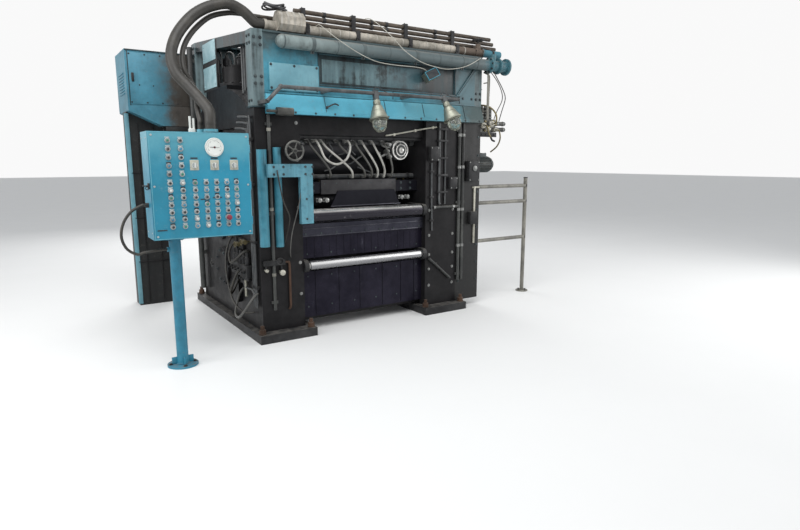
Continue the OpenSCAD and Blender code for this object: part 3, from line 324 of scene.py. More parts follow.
def mix_finishes(shade):
    """Makes every finish once"""
    grime, dust = tuple(shade.grease), tuple(shade.dust)
    blue, deep, faded = tuple(shade.blue), tuple(shade.blue_shade), tuple(shade.faded)
    panel = tuple(shade.panel)

    def paint(name, base, low, *rest, fades=()):
        return worn_paint(name, base, low, grime, dust, *rest, fades=fades)

    def metal(name, base, sheen, *rest):
        return oily_metal(name, base, sheen, dust, *rest)

    SKINS.update(
        blue_paint=paint("machine_blue", blue, deep, 0.3, 0.42, 0.5),
        beam_blue=paint(
            "beam_blue", blue, deep, 0.3, 0.4, 0.5,
            fades=((0, 0.75, 1.25, (0.07, 0.135, 0.155)), (2, 2.66, 2.9, (0.045, 0.07, 0.076))),
        ),
        apron_blue=paint(
            "apron_blue", (0.098, 0.385, 0.51), (0.08, 0.31, 0.41), 0.28, 0.22, 0.4,
            fades=((0, 0.35, 0.85, (0.1, 0.3, 0.37)), (0, 1.05, 1.5, (0.045, 0.072, 0.073))),
        ),
        dirty_blue=paint("oily_blue", (0.045, 0.11, 0.13), (0.022, 0.045, 0.052), 0.3, 0.6, 0.6),
        pale_blue=paint("pale_blue", (0.17, 0.36, 0.42), (0.11, 0.25, 0.3), 0.34, 0.25, 0.5),
        cover_pale=paint("cover_pale", (0.36, 0.5, 0.53), (0.2, 0.33, 0.36), 0.34, 0.2, 0.5, 3.0),
        bracket_blue=paint(
            "bracket_blue", (0.13, 0.34, 0.42), (0.06, 0.17, 0.22), 0.32, 0.38, 0.5, 5.0
        ),
        strip_blue=paint(
            "strip_blue", (0.04, 0.19, 0.27), (0.018, 0.08, 0.12), 0.22, 0.4, 0.6, 3.0
        ),
        recess_paint=paint(
            "recess_blue", (0.036, 0.06, 0.066), (0.02, 0.032, 0.036), 0.36, 0.5, 0.6, 1.4
        ),
        bare_plate=paint(
            "plain_plate", (0.17, 0.27, 0.29), (0.08, 0.135, 0.15), 0.34, 0.42, 0.7, 5.0,
            fades=((0, 0.25, 0.75, (0.055, 0.115, 0.135)),),
        ),
        post_grey=paint("post_grey", (0.2, 0.285, 0.3), (0.11, 0.15, 0.157), 0.34, 0.45, 0.6),
        grey_blue_paint=paint("faded_blue", faded, (0.05, 0.065, 0.068), 0.4, 0.5, 0.5),
        shelf_grey=paint(
            "shelf_grey", (0.012, 0.0125, 0.012), (0.006, 0.006, 0.006), 0.4, 0.5, 0.6
        ),
        duct_grey=paint(
            "duct_grey", (0.235, 0.29, 0.285), (0.12, 0.15, 0.15), 0.34, 0.4, 0.5,
            fades=((0, -0.55, 0.45, (0.082, 0.108, 0.112)), (0, 1.55, 1.75, (0.05, 0.14, 0.17))),
        ),
        duct_band=paint("duct_band", (0.11, 0.14, 0.14), (0.05, 0.065, 0.068), 0.34, 0.45, 0.5),
        post_pipe=paint(
            "post_pipe", (0.085, 0.088, 0.082), (0.028, 0.03, 0.03), 0.3, 0.45, 0.6, 3.0
        ),
        # The panel enamel turns paler and greyer towards its top: a painted reflection
        panel_blue=worn_paint(
            "panel_enamel", panel, (0.022, 0.175, 0.255), grime, (0.16, 0.27, 0.31),
            0.26, 0.1, 0.3, 1.2, fades=((2, 1.72, 2.08, (0.095, 0.3, 0.37)),),
        ),
        panel_key_blue=plain_stuff(
            "key_blue", (0.04, 0.19, 0.3), (0.02, 0.1, 0.16), 0.3, 90.0, 0.0001
        ),
        panel_edge=plain_stuff(
            "door_seal", (0.1, 0.32, 0.4), (0.04, 0.16, 0.22), 0.4, 60.0, 0.0002
        ),
        pedestal_blue=paint(
            "pedestal_blue", (0.03, 0.215, 0.315), (0.02, 0.12, 0.18), 0.35, 0.3, 0.4
        ),
        cabinet_blue=paint(
            "cabinet_blue", (0.066, 0.235, 0.32), (0.036, 0.135, 0.185), 0.36, 0.3, 0.5,
            fades=((0, -1.38, -1.1, (0.05, 0.044, 0.038)),),
        ),
        # Near black for the column, standing for the shade on its front: painted shade
        column_dark=paint(
            "column_dark", (0.02, 0.022, 0.022), (0.01, 0.011, 0.011), 0.45, 0.5, 0.6
        ),
        greasy_casting=oily_metal("greasy_casting", grime, (0.018, 0.017, 0.018),
            (0.07, 0.07, 0.072), 0.34, 0.12, 0.5, 0.16),
        dark_steel=metal(
            "dark_steel", (0.022, 0.022, 0.023), (0.05, 0.05, 0.051), 0.4, 0.35, 0.4, 0.18
        ),
        wheel_steel=metal(
            "wheel_steel", (0.07, 0.07, 0.066), (0.15, 0.15, 0.14), 0.34, 0.5, 0.4, 0.2
        ),
        dirty_bolt=metal(
            "oily_bolt", (0.03, 0.036, 0.04), (0.085, 0.105, 0.11), 0.36, 0.4, 0.4, 0.2
        ),
        valve_metal=oily_metal("valve_metal", (0.05, 0.05, 0.048), (0.13, 0.13, 0.12),
            (0.3, 0.28, 0.24), 0.36, 0.4, 0.4, 0.3),
        oily_plate=oily_metal("oily_plate", (0.01, 0.009, 0.016), (0.024, 0.023, 0.032),
            (0.1, 0.1, 0.12), 0.28, 0.4, 0.65, 0.2),
        table_steel=oily_metal("table_steel", (0.028, 0.028, 0.04), (0.056, 0.056, 0.072),
            (0.16, 0.16, 0.18), 0.24, 0.5, 0.5, 0.2),
        band_metal=oily_metal("band_metal", (0.042, 0.042, 0.054), (0.095, 0.095, 0.11),
            (0.22, 0.22, 0.24), 0.24, 0.6, 0.5, 0.3),
        drip_steel=oily_metal(
            "drip_steel", (0.0075, 0.0065, 0.0135), (0.02, 0.018, 0.03), (0.11, 0.11, 0.14), 0.24,
            0.35, 0.75, 0.17,
        ),
        header_dark=oily_metal("header_dark", (0.006, 0.006, 0.01), (0.013, 0.013, 0.018),
            (0.06, 0.06, 0.072), 0.3, 0.3, 0.5, 0.14),
        header_grey=oily_metal("header_grey", (0.03, 0.029, 0.031), (0.055, 0.054, 0.056),
            (0.12, 0.12, 0.125), 0.34, 0.3, 0.5, 0.2),
        roll_steel=turned_steel("roll_steel", (0.05, 0.05, 0.054), (0.018, 0.018, 0.02), 0.3),
        # Painted shade on both guide rolls: the third colour darkens the faces that look down, on
        # the upper roll all but its top
        upper_roll=turned_steel(
            "upper_roll", (0.95, 0.94, 0.92), (0.5, 0.49, 0.48), 0.12, 0.25, (0.04, 0.038, 0.046),
            (0.5, 1.05),
        ),
        lower_roll=turned_steel(
            "lower_roll", (0.9, 0.9, 0.9), (0.55, 0.55, 0.55), 0.14, 0.2, (0.28, 0.28, 0.29),
            (0.05, 0.85),
        ),
        bright_roll=turned_steel("bright_roll", (0.7, 0.69, 0.67), (0.34, 0.33, 0.31), 0.16, 0.3),
        bright_pipe=paint(
            "dull_pipe", (0.13, 0.135, 0.135), (0.04, 0.043, 0.046), 0.3, 0.5, 0.5, 5.0
        ),
        bright_pipe_end=metal(
            "plated_end", (0.15, 0.155, 0.15), (0.34, 0.34, 0.33), 0.26, 0.65, 0.4, 0.2
        ),
        pale_pipe=paint("pale_pipe", (0.3, 0.29, 0.25), (0.13, 0.125, 0.11), 0.34, 0.35, 0.5, 5.0),
        pale_metal=metal("pale_metal", (0.28, 0.27, 0.22), (0.5, 0.48, 0.42), 0.34, 0.3, 0.4, 0.2),
        brown_pipe=oily_metal("brown_pipe", (0.05, 0.041, 0.034), (0.12, 0.098, 0.078),
            (0.3, 0.28, 0.24), 0.42, 0.3, 0.4, 0.2),
        brass=metal("old_brass", (0.1, 0.085, 0.045), (0.24, 0.2, 0.11), 0.36, 0.6, 0.4, 0.2),
        clear_hose=plain_stuff("clear_hose", (0.46, 0.45, 0.41), (0.1, 0.1, 0.09), 0.25, 26.0),
        stained_hose=plain_stuff(
            "stained_hose", (0.09, 0.088, 0.08), (0.022, 0.022, 0.021), 0.3, 26.0
        ),
        lagging=wrapped_pipe(
            "lagging", tuple(shade.lagging), (0.2, 0.185, 0.155), (0.105, 0.08, 0.062),
            (0.05, 0.17, 0.22)
        ),
        beige_pipe=plain_stuff(
            "lagging_tape", (0.36, 0.34, 0.3), (0.13, 0.12, 0.1), 0.7, 34.0, 0.002
        ),
        lamp_metal=turned_steel("spun_lamp", (0.32, 0.33, 0.275), (0.12, 0.12, 0.1), 0.4),
        lamp_globe=clear_glass("lamp_globe", (0.62, 0.66, 0.6), (0.3, 0.32, 0.28)),
        smoked_glass=plain_stuff(
            "spot_glass", (0.02, 0.024, 0.028), (0.05, 0.06, 0.06), 0.08, 40.0, 0.0001
        ),
        dial_white=plain_stuff(
            "dial_white", (0.66, 0.68, 0.65), (0.44, 0.47, 0.44), 0.3, 80.0, 0.0001
        ),
        plate_cream=plain_stuff(
            "switch_plate", (0.4, 0.4, 0.33), (0.16, 0.17, 0.15), 0.4, 60.0, 0.0002
        ),
        plate_pale=plain_stuff(
            "key_plate", (0.34, 0.42, 0.43), (0.12, 0.2, 0.24), 0.4, 80.0, 0.0001
        ),
        button_plastic=plain_stuff(
            "bezel_metal", (0.44, 0.47, 0.47), (0.14, 0.16, 0.17), 0.3, 90.0, 0.0001, 0.5
        ),
        black_rubber=plain_stuff(
            "black_rubber", (0.015, 0.0135, 0.0105), (0.048, 0.043, 0.034), 0.4, 50.0, 0.001
        ),
        pale_wire=plain_stuff(
            "pale_wire", (0.44, 0.43, 0.38), (0.22, 0.21, 0.18), 0.5, 70.0, 0.0002
        ),
        cap_black=plain_stuff(
            "black_plastic", (0.014, 0.014, 0.016), (0.04, 0.04, 0.04), 0.28, 90.0, 0.0001
        ),
        cap_green=plain_stuff(
            "green_plastic", (0.02, 0.17, 0.11), (0.015, 0.08, 0.06), 0.3, 90.0, 0.0001
        ),
        cap_red=plain_stuff(
            "red_plastic", (0.22, 0.018, 0.035), (0.1, 0.012, 0.022), 0.3, 90.0, 0.0001
        ),
        cap_white=plain_stuff(
            "white_plastic", (0.56, 0.57, 0.54), (0.28, 0.29, 0.27), 0.3, 90.0, 0.0001
        ),
        rust=metal("rusty_iron", (0.045, 0.028, 0.02), (0.095, 0.055, 0.038), 0.7, 0.1, 0.4, 0.15),
    )


# Shapes
def start():
    return bmesh.new()


def turn_to(direction):
    """Rotation that takes Z to the direction"""
    return Vector(direction).to_track_quat("Z", "Y").to_matrix().to_4x4()


def rod(bm, a, b, radius, segments=24, end_radius=None):
    """A round bar from a to b"""
    a, b = Vector(a), Vector(b)
    place = Matrix.Translation((a + b) / 2) @ turn_to(b - a)
    return bmesh.ops.create_cone(
        bm, cap_ends=True, segments=segments, radius1=radius,
        radius2=radius if end_radius is None else end_radius, depth=(b - a).length, matrix=place,
    )["verts"]


def plate(bm, low, high, edge=0.003, matrix=None):
    """A plate between two corners with broken edges"""
    low, high = Vector(low), Vector(high)
    size = Matrix.Diagonal((*(high - low), 1))
    place = (matrix or Matrix()) @ Matrix.Translation((low + high) / 2) @ size
    verts = bmesh.ops.create_cube(bm, size=1, matrix=place)["verts"]
    if edge:
        edges = dict.fromkeys(e for v in verts for e in v.link_edges)
        bmesh.ops.bevel(
            bm, geom=list(edges), offset=edge, offset_type="OFFSET", segments=2,
            profile=0.5, affect="EDGES", material=-1,
        )


def bolt(bm, at, out, size):
    """A hex head on a washer; size is across the corners"""
    at, out = Vector(at), Vector(out).normalized()
    rod(bm, at - out * 0.002, at + out * size * 0.12, size * 0.72, 16)
    rod(bm, at + out * size * 0.11, at + out * size * 0.48, size * 0.5, 6, size * 0.46)


def stud(bm, at, out, size):
    """A hex nut with the end of its stud"""
    at, out = Vector(at), Vector(out).normalized()
    bolt(bm, at, out, size)
    rod(bm, at + out * size * 0.4, at + out * size * 0.85, size * 0.24, 12)


def ring_of_bolts(bm, centre, out, radius, count, size, turn=0.0):
    out = Vector(out).normalized()
    side = out.orthogonal().normalized()
    for i in range(count):
        arm = Matrix.Rotation(turn + FULL * i / count, 3, out) @ side
        bolt(bm, Vector(centre) + arm * radius, out, size)


def turned(bm, at, out, profile, segments=32):
    """Spins a profile of (radius, height) pairs round the axis through at"""
    part = start()
    verts = [part.verts.new((radius, 0, height)) for radius, height in profile]
    for pair in zip(verts, verts[1:]):
        part.edges.new(pair)
    spin_in(bm, part, at, out, segments)


def curve_points(route, steps=6):
    """The smooth curve through a route that the source's hoses follow"""
    route = [Vector(p) for p in route]
    last = len(route) - 1
    points = []
    for i in range(last):
        a, b, c, d = route[max(i - 1, 0)], route[i], route[i + 1], route[min(i + 2, last)]
        for j in range(steps + (i == last - 1)):
            t = j / steps
            points.append(
                0.5 * (2 * b + (c - a) * t + (2 * a - 5 * b + 4 * c - d) * t * t
                       + (3 * b - a - 3 * c + d) * t ** 3)
            )
    return points


def tube(name, points, radius, sides=4):
    """A round tube along the points, as a mesh object"""
    line = bpy.data.curves.new(name, "CURVE")
    line.dimensions = "3D"
    line.bevel_depth = radius
    line.bevel_resolution = sides
    line.use_fill_caps = True
    spline = line.splines.new("POLY")
    spline.points.add(len(points) - 1)
    for point, place in zip(spline.points, points):
        point.co = (*place, 1)
    spline.use_smooth = True
    made = bpy.data.objects.new(name, line)
    mesh = bpy.data.meshes.new_from_object(made)
    bpy.data.objects.remove(made)
    bpy.data.curves.remove(line)
    return mesh


def settle(name, shape, skin, body=BODY, smooth=40):
    """Makes an object of a bmesh or a mesh, and puts it on its body"""
    if isinstance(shape, bmesh.types.BMesh):
        mesh = bpy.data.meshes.new(name)
        shape.to_mesh(mesh)
        shape.free()
    else:
        mesh = shape
    mesh.name = name
    mesh.materials.clear()
    mesh.materials.append(SKINS[skin])
    for face in mesh.polygons:
        face.use_smooth = True
    mesh.set_sharp_from_angle(angle=math.radians(smooth))
    piece = bpy.data.objects.new(name, mesh)
    bpy.context.scene.collection.objects.link(piece)
    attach(piece, body)
    return piece


# Places of the frame in metres, as the source has them
FACE_Y, REAR_Y = -0.95, 0.95
INNER_X, OUTER_X = 0.71, 1.13
SEAT = 0.0003  # the gap that keeps two faces apart
ON_FACE, ON_REAR, ON_LEFT = FACE_Y - SEAT, REAR_Y + SEAT, -OUTER_X - SEAT
RECESS_X, RECESS_Z = (-0.5, 1.08), (2.33, 2.6)
DUCT = (-1.018, 2.658, 0.058)
LAGGED = (-0.9, 2.8, 0.04)
SLIM_Y, SLIM_ZS, SLIM_R = -0.826, (2.872, 2.92, 2.968), 0.02
STRAPS = (-0.62, -0.1, 0.5, 1.1)
APRON_Y, APRON_Z = -1.02, 2.05
RAIL_Y, RAIL_Z = -1.125, 2.265
LAMPS = ((-0.01, -15, 0, 0.06), (0.8, -22, -14, 0.04))
BELL_H = 0.194
GUIDE_Y, TABLE_Y = -0.93, -0.9
UPPER_ROLL_Z, LOWER_ROLL_Z = 1.13, 0.655
BAND_Z = (0.93, 1.05)
HEADER_Y, HEADER_Z = -0.79, 1.33
SHELF_X, SHOULDER_Z = 1.46, 2.1


def spaced(low_end, high_end, count):
    return [low_end + (high_end - low_end) * i / (count - 1) for i in range(count)]


def join_mesh(bm, mesh):
    bm.from_mesh(mesh)
    bpy.data.meshes.remove(mesh)


def pour(bm, part):
    """Moves a smaller shape into a larger one"""
    mesh = bpy.data.meshes.new("part")
    part.to_mesh(mesh)
    part.free()
    join_mesh(bm, mesh)


def riser(x, y, *zs):
    """Points over one another"""
    return [(x, y, z) for z in zs]


def run(bm, points, radius, sides=3, smooth=5):
    """Adds a bent round bar or pipe through the points"""
    points = curve_points(points, smooth) if smooth else [Vector(p) for p in points]
    join_mesh(bm, tube("run", points, radius, sides))


def hoop(bm, centre, out, radius, thick, segments=40, sides=10):
    """A ring of round bar"""
    part = start()
    place = Matrix.Translation((radius, 0, 0)) @ Matrix.Rotation(math.radians(90), 4, "X")
    bmesh.ops.create_circle(part, segments=sides, radius=thick, matrix=place)
    spin_in(bm, part, centre, out, segments)


def spin_in(bm, part, at, out, segments):
    """Spins an outline a full turn round Z and lays it in"""
    bmesh.ops.spin(
        part, geom=part.verts[:] + part.edges[:], cent=(0, 0, 0), axis=(0, 0, 1), dvec=(0, 0, 0),
        angle=FULL, steps=segments, use_merge=True,
    )
    lay_in(bm, part, at, out)


def lay_in(bm, part, at, out):
    """Joins a shape made round Z into a larger one, its Z turned to out"""
    bmesh.ops.remove_doubles(part, verts=part.verts[:], dist=1e-6)
    bmesh.ops.recalc_face_normals(part, faces=part.faces[:])
    part.transform(Matrix.Translation(Vector(at)) @ turn_to(out))
    pour(bm, part)


def bolts(bm, xs, ys, zs, out, size):
    """Bolts at every mix of the places; a number stands for a single place"""
    for at in product(*(v if isinstance(v, (tuple, list)) else (v,) for v in (xs, ys, zs))):
        bolt(bm, at, out, size)


def pin(bm, foot, way, reach, *rest):
    """A round bar from its foot along a way; the rest is as in rod"""
    rod(bm, foot, Vector(foot) + way * reach, *rest)


def border(bm, x, y, z, width, edge):
    """A frame of four bars in the XZ plane, inside the ranges x and z, y thick"""
    for low, high in ((z[0], z[0] + width), (z[1] - width, z[1])):
        plate(bm, (x[0], y[0], low), (x[1], y[1], high), edge)
    for low, high in ((x[0], x[0] + width), (x[1] - width, x[1])):
        plate(bm, (low, y[0], z[0] + width), (high, y[1], z[1] - width), edge)


def band_x(bm, x, width, y, z, radius, segments=40):
    """A band round a pipe that lies along X"""
    rod(bm, (x - width / 2, y, z), (x + width / 2, y, z), radius, segments)


def both_sides(bm):
    """Adds the same pieces again at the rear, mirrored"""
    copy = bm.copy()
    bmesh.ops.scale(copy, vec=(1, -1, 1), verts=copy.verts[:])
    bmesh.ops.reverse_faces(copy, faces=copy.faces[:])
    pour(bm, copy)


class Fitting:
    """An operator that makes its parts one after another"""

    def execute(self, context):
        sizes = context.scene.mill_sizes
        self.size, self.large = sizes.small_bolt, sizes.bolt
        for part in self.parts:
            getattr(self, part)()
        return {"FINISHED"}


# The stage
class MILL_OT_stage(bpy.types.Operator):
    """Floor, lamps, world and camera"""

    bl_idname = "mill.stage"
    bl_label = "Stage"

    def execute(self, context):
        self.floor(context)
        self.light(context)
        self.camera(context)
        return {"FINISHED"}

    def floor(self, context):
        shade = context.scene.mill_colours
        bm = start()
        bmesh.ops.create_grid(bm, x_segments=1, y_segments=1, size=60)
        mesh = bpy.data.meshes.new("floor")
        bm.to_mesh(mesh)
        bm.free()
        floor = bpy.data.objects.new("floor", mesh)
        context.scene.collection.objects.link(floor)
        cover = Finish("pale_floor")
        grain = cover.noise(1.3, 5, 0.6)
        cover.wire("Base Color", cover.blend(grain * 0.25, tuple(shade.floor), (0.7, 0.7, 0.69)))
        cover.wire("Roughness", 0.62 + grain * 0.2)
        mesh.materials.append(cover.material)

    def light(self, context):
        world = bpy.data.worlds.new("world")
        context.scene.world = world
        world.use_nodes = True
        tree = world.node_tree
        sky = tree.nodes["Background"]
        plain, path, choice, seen, both = (
            tree.nodes.new("ShaderNode" + kind)
            for kind in ("Background", "LightPath", "MixShader", "Math", "Math")
        )
        seen.operation = both.operation = "ADD"
        seen.use_clamp = True
        for shader, shade, strength in (
            (sky, (0.93, 0.96, 1.0, 1), 0.55),
            (plain, (1, 1, 1, 1), 0.95),
        ):
            shader.inputs["Color"].default_value = shade
            shader.inputs["Strength"].default_value = strength
        for source, target in (
            (path.outputs["Is Camera Ray"], both.inputs[0]),
            (path.outputs["Is Glossy Ray"], both.inputs[1]),
            (both.outputs[0], seen.inputs[0]),
            (path.outputs["Is Transmission Ray"], seen.inputs[1]),
            (seen.outputs[0], choice.inputs[0]),
            (sky.outputs[0], choice.inputs[1]),
            (plain.outputs[0], choice.inputs[2]),
            (choice.outputs[0], tree.nodes["World Output"].inputs["Surface"]),
        ):
            tree.links.new(source, target)
        for name, at, aim, size, power in (
            ("roof_light", (-2.5, -4.0, 6.5), (0, 0, 1.2), 5.0, 330),
            ("left_light", (-7.0, -1.5, 3.5), (-0.5, 0, 1.5), 4.0, 190),
            ("right_light", (6.0, -4.5, 3.0), (0.5, 0, 1.5), 4.0, 160),
            ("rear_light", (1.5, 7.0, 5.0), (0, 0, 1.5), 5.0, 260),
        ):
            lamp = bpy.data.lights.new(name, "AREA")
            lamp.energy, lamp.size = power, size
            place = bpy.data.objects.new(name, lamp)
            place.location = at
            place.rotation_euler = (Vector(at) - Vector(aim)).to_track_quat("Z", "Y").to_euler()
            context.scene.collection.objects.link(place)
        context.scene.view_settings.view_transform = "Standard"

    def camera(self, context):
        lens = bpy.data.cameras.new("camera")
        lens.sensor_width, lens.lens = 36.0, 26.1
        lens.clip_end = 200
        eye = bpy.data.objects.new("camera", lens)
        eye.location = (-2.95, -5.95, context.scene.mill_sizes.eye)
        eye.rotation_euler = (math.radians(90 - 10.26), 0, math.radians(-33.7))
        context.scene.collection.objects.link(eye)
        context.scene.camera = eye


# Which finish each node wears
NODE_SKINS = {
    "control_panel": "panel_blue",
    "panel_pedestal": "pedestal_blue",
    "front_beam": "beam_blue",
    "beam_apron": "apron_blue",
    "side_rails": "dirty_blue",
    "corner_posts": "post_grey",
    "rear_beam": "dirty_blue",
    "l_bracket": "bracket_blue",
    "post_covers": "strip_blue",
    "exhaust_duct": "duct_grey",
    "top_pipes": "lagging",
    "slim_pipes": "brown_pipe",
    "lamp_globes": "lamp_globe",
    "strip_tables": "table_steel",
    "drip_plates": "drip_steel",
    "header_plates": "header_dark",
    "upper_guide_roll": "upper_roll",
    "lower_guide_roll": "lower_roll",
    "rear_cabinet": "cabinet_blue",
    # The column wears a near black that is painted shade
    "cabinet_column": "column_dark",
    "left_housing": "greasy_casting",
    "right_housing": "greasy_casting",
    "screw_cylinders": "greasy_casting",
    "spray_header": "bright_pipe",
    "vertical_pipes": "post_pipe",
    "drive_shelf": "shelf_grey",
    "handwheel": "wheel_steel",
    "accumulators": "cap_black",
    "guard_frame": "pale_pipe",
    "valves": "valve_metal",
}


class MILL_OT_finishes(bpy.types.Operator):
    """A finish for every node of the frame"""

    bl_idname = "mill.finishes"
    bl_label = "Finishes"

    def execute(self, context):
        mix_finishes(context.scene.mill_colours)
        for row in frame["record"]["subparts"]:
            mesh = frame["nodes"][row["node"]].data
            mesh.materials.clear()
            mesh.materials.append(SKINS[NODE_SKINS.get(row["node"], row["material_slot"])])
        return {"FINISHED"}


# Hoses
PANEL_AT, PANEL_TURN = Vector((-1.705, -1.337, 1.05)), math.radians(-1)


def panel_matrix():
    return Matrix.Translation(PANEL_AT) @ Matrix.Rotation(PANEL_TURN, 4, "Z")


def on_panel(x, y, z):
    """A point of the control panel's own frame: x along its face, y into it, z up"""
    return tuple(panel_matrix() @ Vector((x, y, z)))


BIG_GLAND = (0.12, 0.14)
SMALL_GLAND = (0.06, 0.215)
BIG_ROUTE = [
    (-1.0, -0.9, 2.8), (-1.02, -0.9, 2.8), (-1.04, -0.9, 2.8), (-1.075, -0.9, 2.808),
    (-1.17, -0.887, 2.888), (-1.29, -0.88, 2.93), (-1.43, -0.88, 2.895), (-1.56, -0.89, 2.82),
    (-1.67, -0.905, 2.71), (-1.75, -0.93, 2.59), (-1.79, -0.955, 2.46), (-1.77, -0.99, 2.33),
    (-1.7, -1.04, 2.23), (-1.63, -1.105, 2.13), (-1.583, -1.182, 2.03),
    *(on_panel(*BIG_GLAND, z) for z in (0.9, 0.87, 0.84)),
]
SMALL_ROUTE = [
    (-1.0, -0.826, 2.872), (-1.02, -0.826, 2.872), (-1.04, -0.826, 2.872), (-1.08, -0.826, 2.874),
    (-1.18, -0.814, 2.882), (-1.29, -0.808, 2.872), (-1.43, -0.812, 2.822), (-1.56, -0.835, 2.71),
    (-1.65, -0.87, 2.59), (-1.69, -0.895, 2.48), (-1.69, -0.93, 2.36), (-1.628, -0.942, 2.24),
    (-1.627, -0.998, 2.14), (-1.642, -1.07, 2.05),
    *(on_panel(*SMALL_GLAND, z) for z in (0.91, 0.875, 0.84)),
]
CABLE_ROUTE = [
    on_panel(x, y, z)
    for x, y, z in (
        (-0.38, 0.14, 0.26), (-0.405, 0.14, 0.26), (-0.43, 0.14, 0.26), (-0.51, 0.135, 0.215),
        (-0.57, 0.13, 0.13), (-0.59, 0.128, 0.03), (-0.56, 0.128, -0.06), (-0.49, 0.134, -0.11),
        (-0.43, 0.14, -0.1), (-0.3, 0.14, -0.09), (-0.285, 0.14, -0.09), (-0.27, 0.14, -0.09),
    )
]
SPRAY_FACE = -0.745
SPRAY_TOP, SPRAY_LOW = 1.83, 1.485
HOSE_TOPS = (-0.56, -0.42, -0.25, -0.06, 0.03, 0.15, 0.29)
HOSE_FEET = (-0.33, -0.08, 0.06, 0.14, 0.21, 0.29, 0.38)
LOOP_XS = (-0.495, -0.15)
CLEAR_HOSES = (1, 4, 5, 7)


def spray_routes():
    drop = SPRAY_TOP - SPRAY_LOW
    face = SPRAY_FACE
    for top, foot in zip(HOSE_TOPS, HOSE_FEET):
        over = foot - top
        yield [
            (top, face, SPRAY_TOP), (top, face - 0.02, SPRAY_TOP), (top, face - 0.045, SPRAY_TOP),
            (top + over * 0.12, face - 0.088, SPRAY_TOP - drop * 0.2),
            (top + over * 0.5, face - 0.105, SPRAY_TOP - drop * 0.5),
            (top + over * 0.88, face - 0.088, SPRAY_LOW + drop * 0.2),
            (foot, face - 0.045, SPRAY_LOW), (foot, face - 0.02, SPRAY_LOW),
            (foot, face, SPRAY_LOW),
        ]
    left, right = LOOP_XS
    yield [
        (left, face, SPRAY_TOP), (left, face - 0.04, SPRAY_TOP), (left, face - 0.09, SPRAY_TOP),
        (left + 0.01, face - 0.15, SPRAY_TOP - 0.06), (left + 0.06, face - 0.165, SPRAY_TOP - 0.17),
        ((left + right) / 2, face - 0.168, SPRAY_TOP - 0.22),
        (right - 0.06, face - 0.165, SPRAY_TOP - 0.17),
        (right - 0.01, face - 0.15, SPRAY_TOP - 0.06),
        (right, face - 0.09, SPRAY_TOP), (right, face - 0.04, SPRAY_TOP), (right, face, SPRAY_TOP),
    ]


def run_length(points):
    return sum((b - a).length for a, b in zip(points, points[1:]))


def lay_hose(name, route, radius, skin, node=None):
    """A hose or lead along its route; with a node it stands in for the source's tube"""
    points = curve_points(route)
    shape = tube(name, points, radius - SEAT) if node else tube(name, points, radius, 2)
    hose = settle(name, shape, skin, smooth=60)
    if node:
        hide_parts(node)
    run_length(points)
    2 * radius


class MILL_OT_hoses(bpy.types.Operator):
    """Hoses from the top pipes to the panel, the panel's cable and the spray hoses"""

    bl_idname = "mill.hoses"
    bl_label = "Hoses"

    def execute(self, context):
        black = "black_rubber"
        for name, route, radius, node, stiffness in (
            ("big_panel_hose", BIG_ROUTE, 0.045, "panel_hoses", "stiff"),
            ("small_panel_hose", SMALL_ROUTE, 0.022, "panel_hoses", "stiff"),
            ("panel_loop_cable", CABLE_ROUTE, 0.011, "panel_cable", "medium"),
        ):
            lay_hose(name, route, radius, black, node)
        for i, route in enumerate(spray_routes()):
            skin = "clear_hose" if i in CLEAR_HOSES else "stained_hose"
            lay_hose(f"spray_hose_{i + 1}", route, 0.011, skin, "spray_hoses")
        return {"FINISHED"}


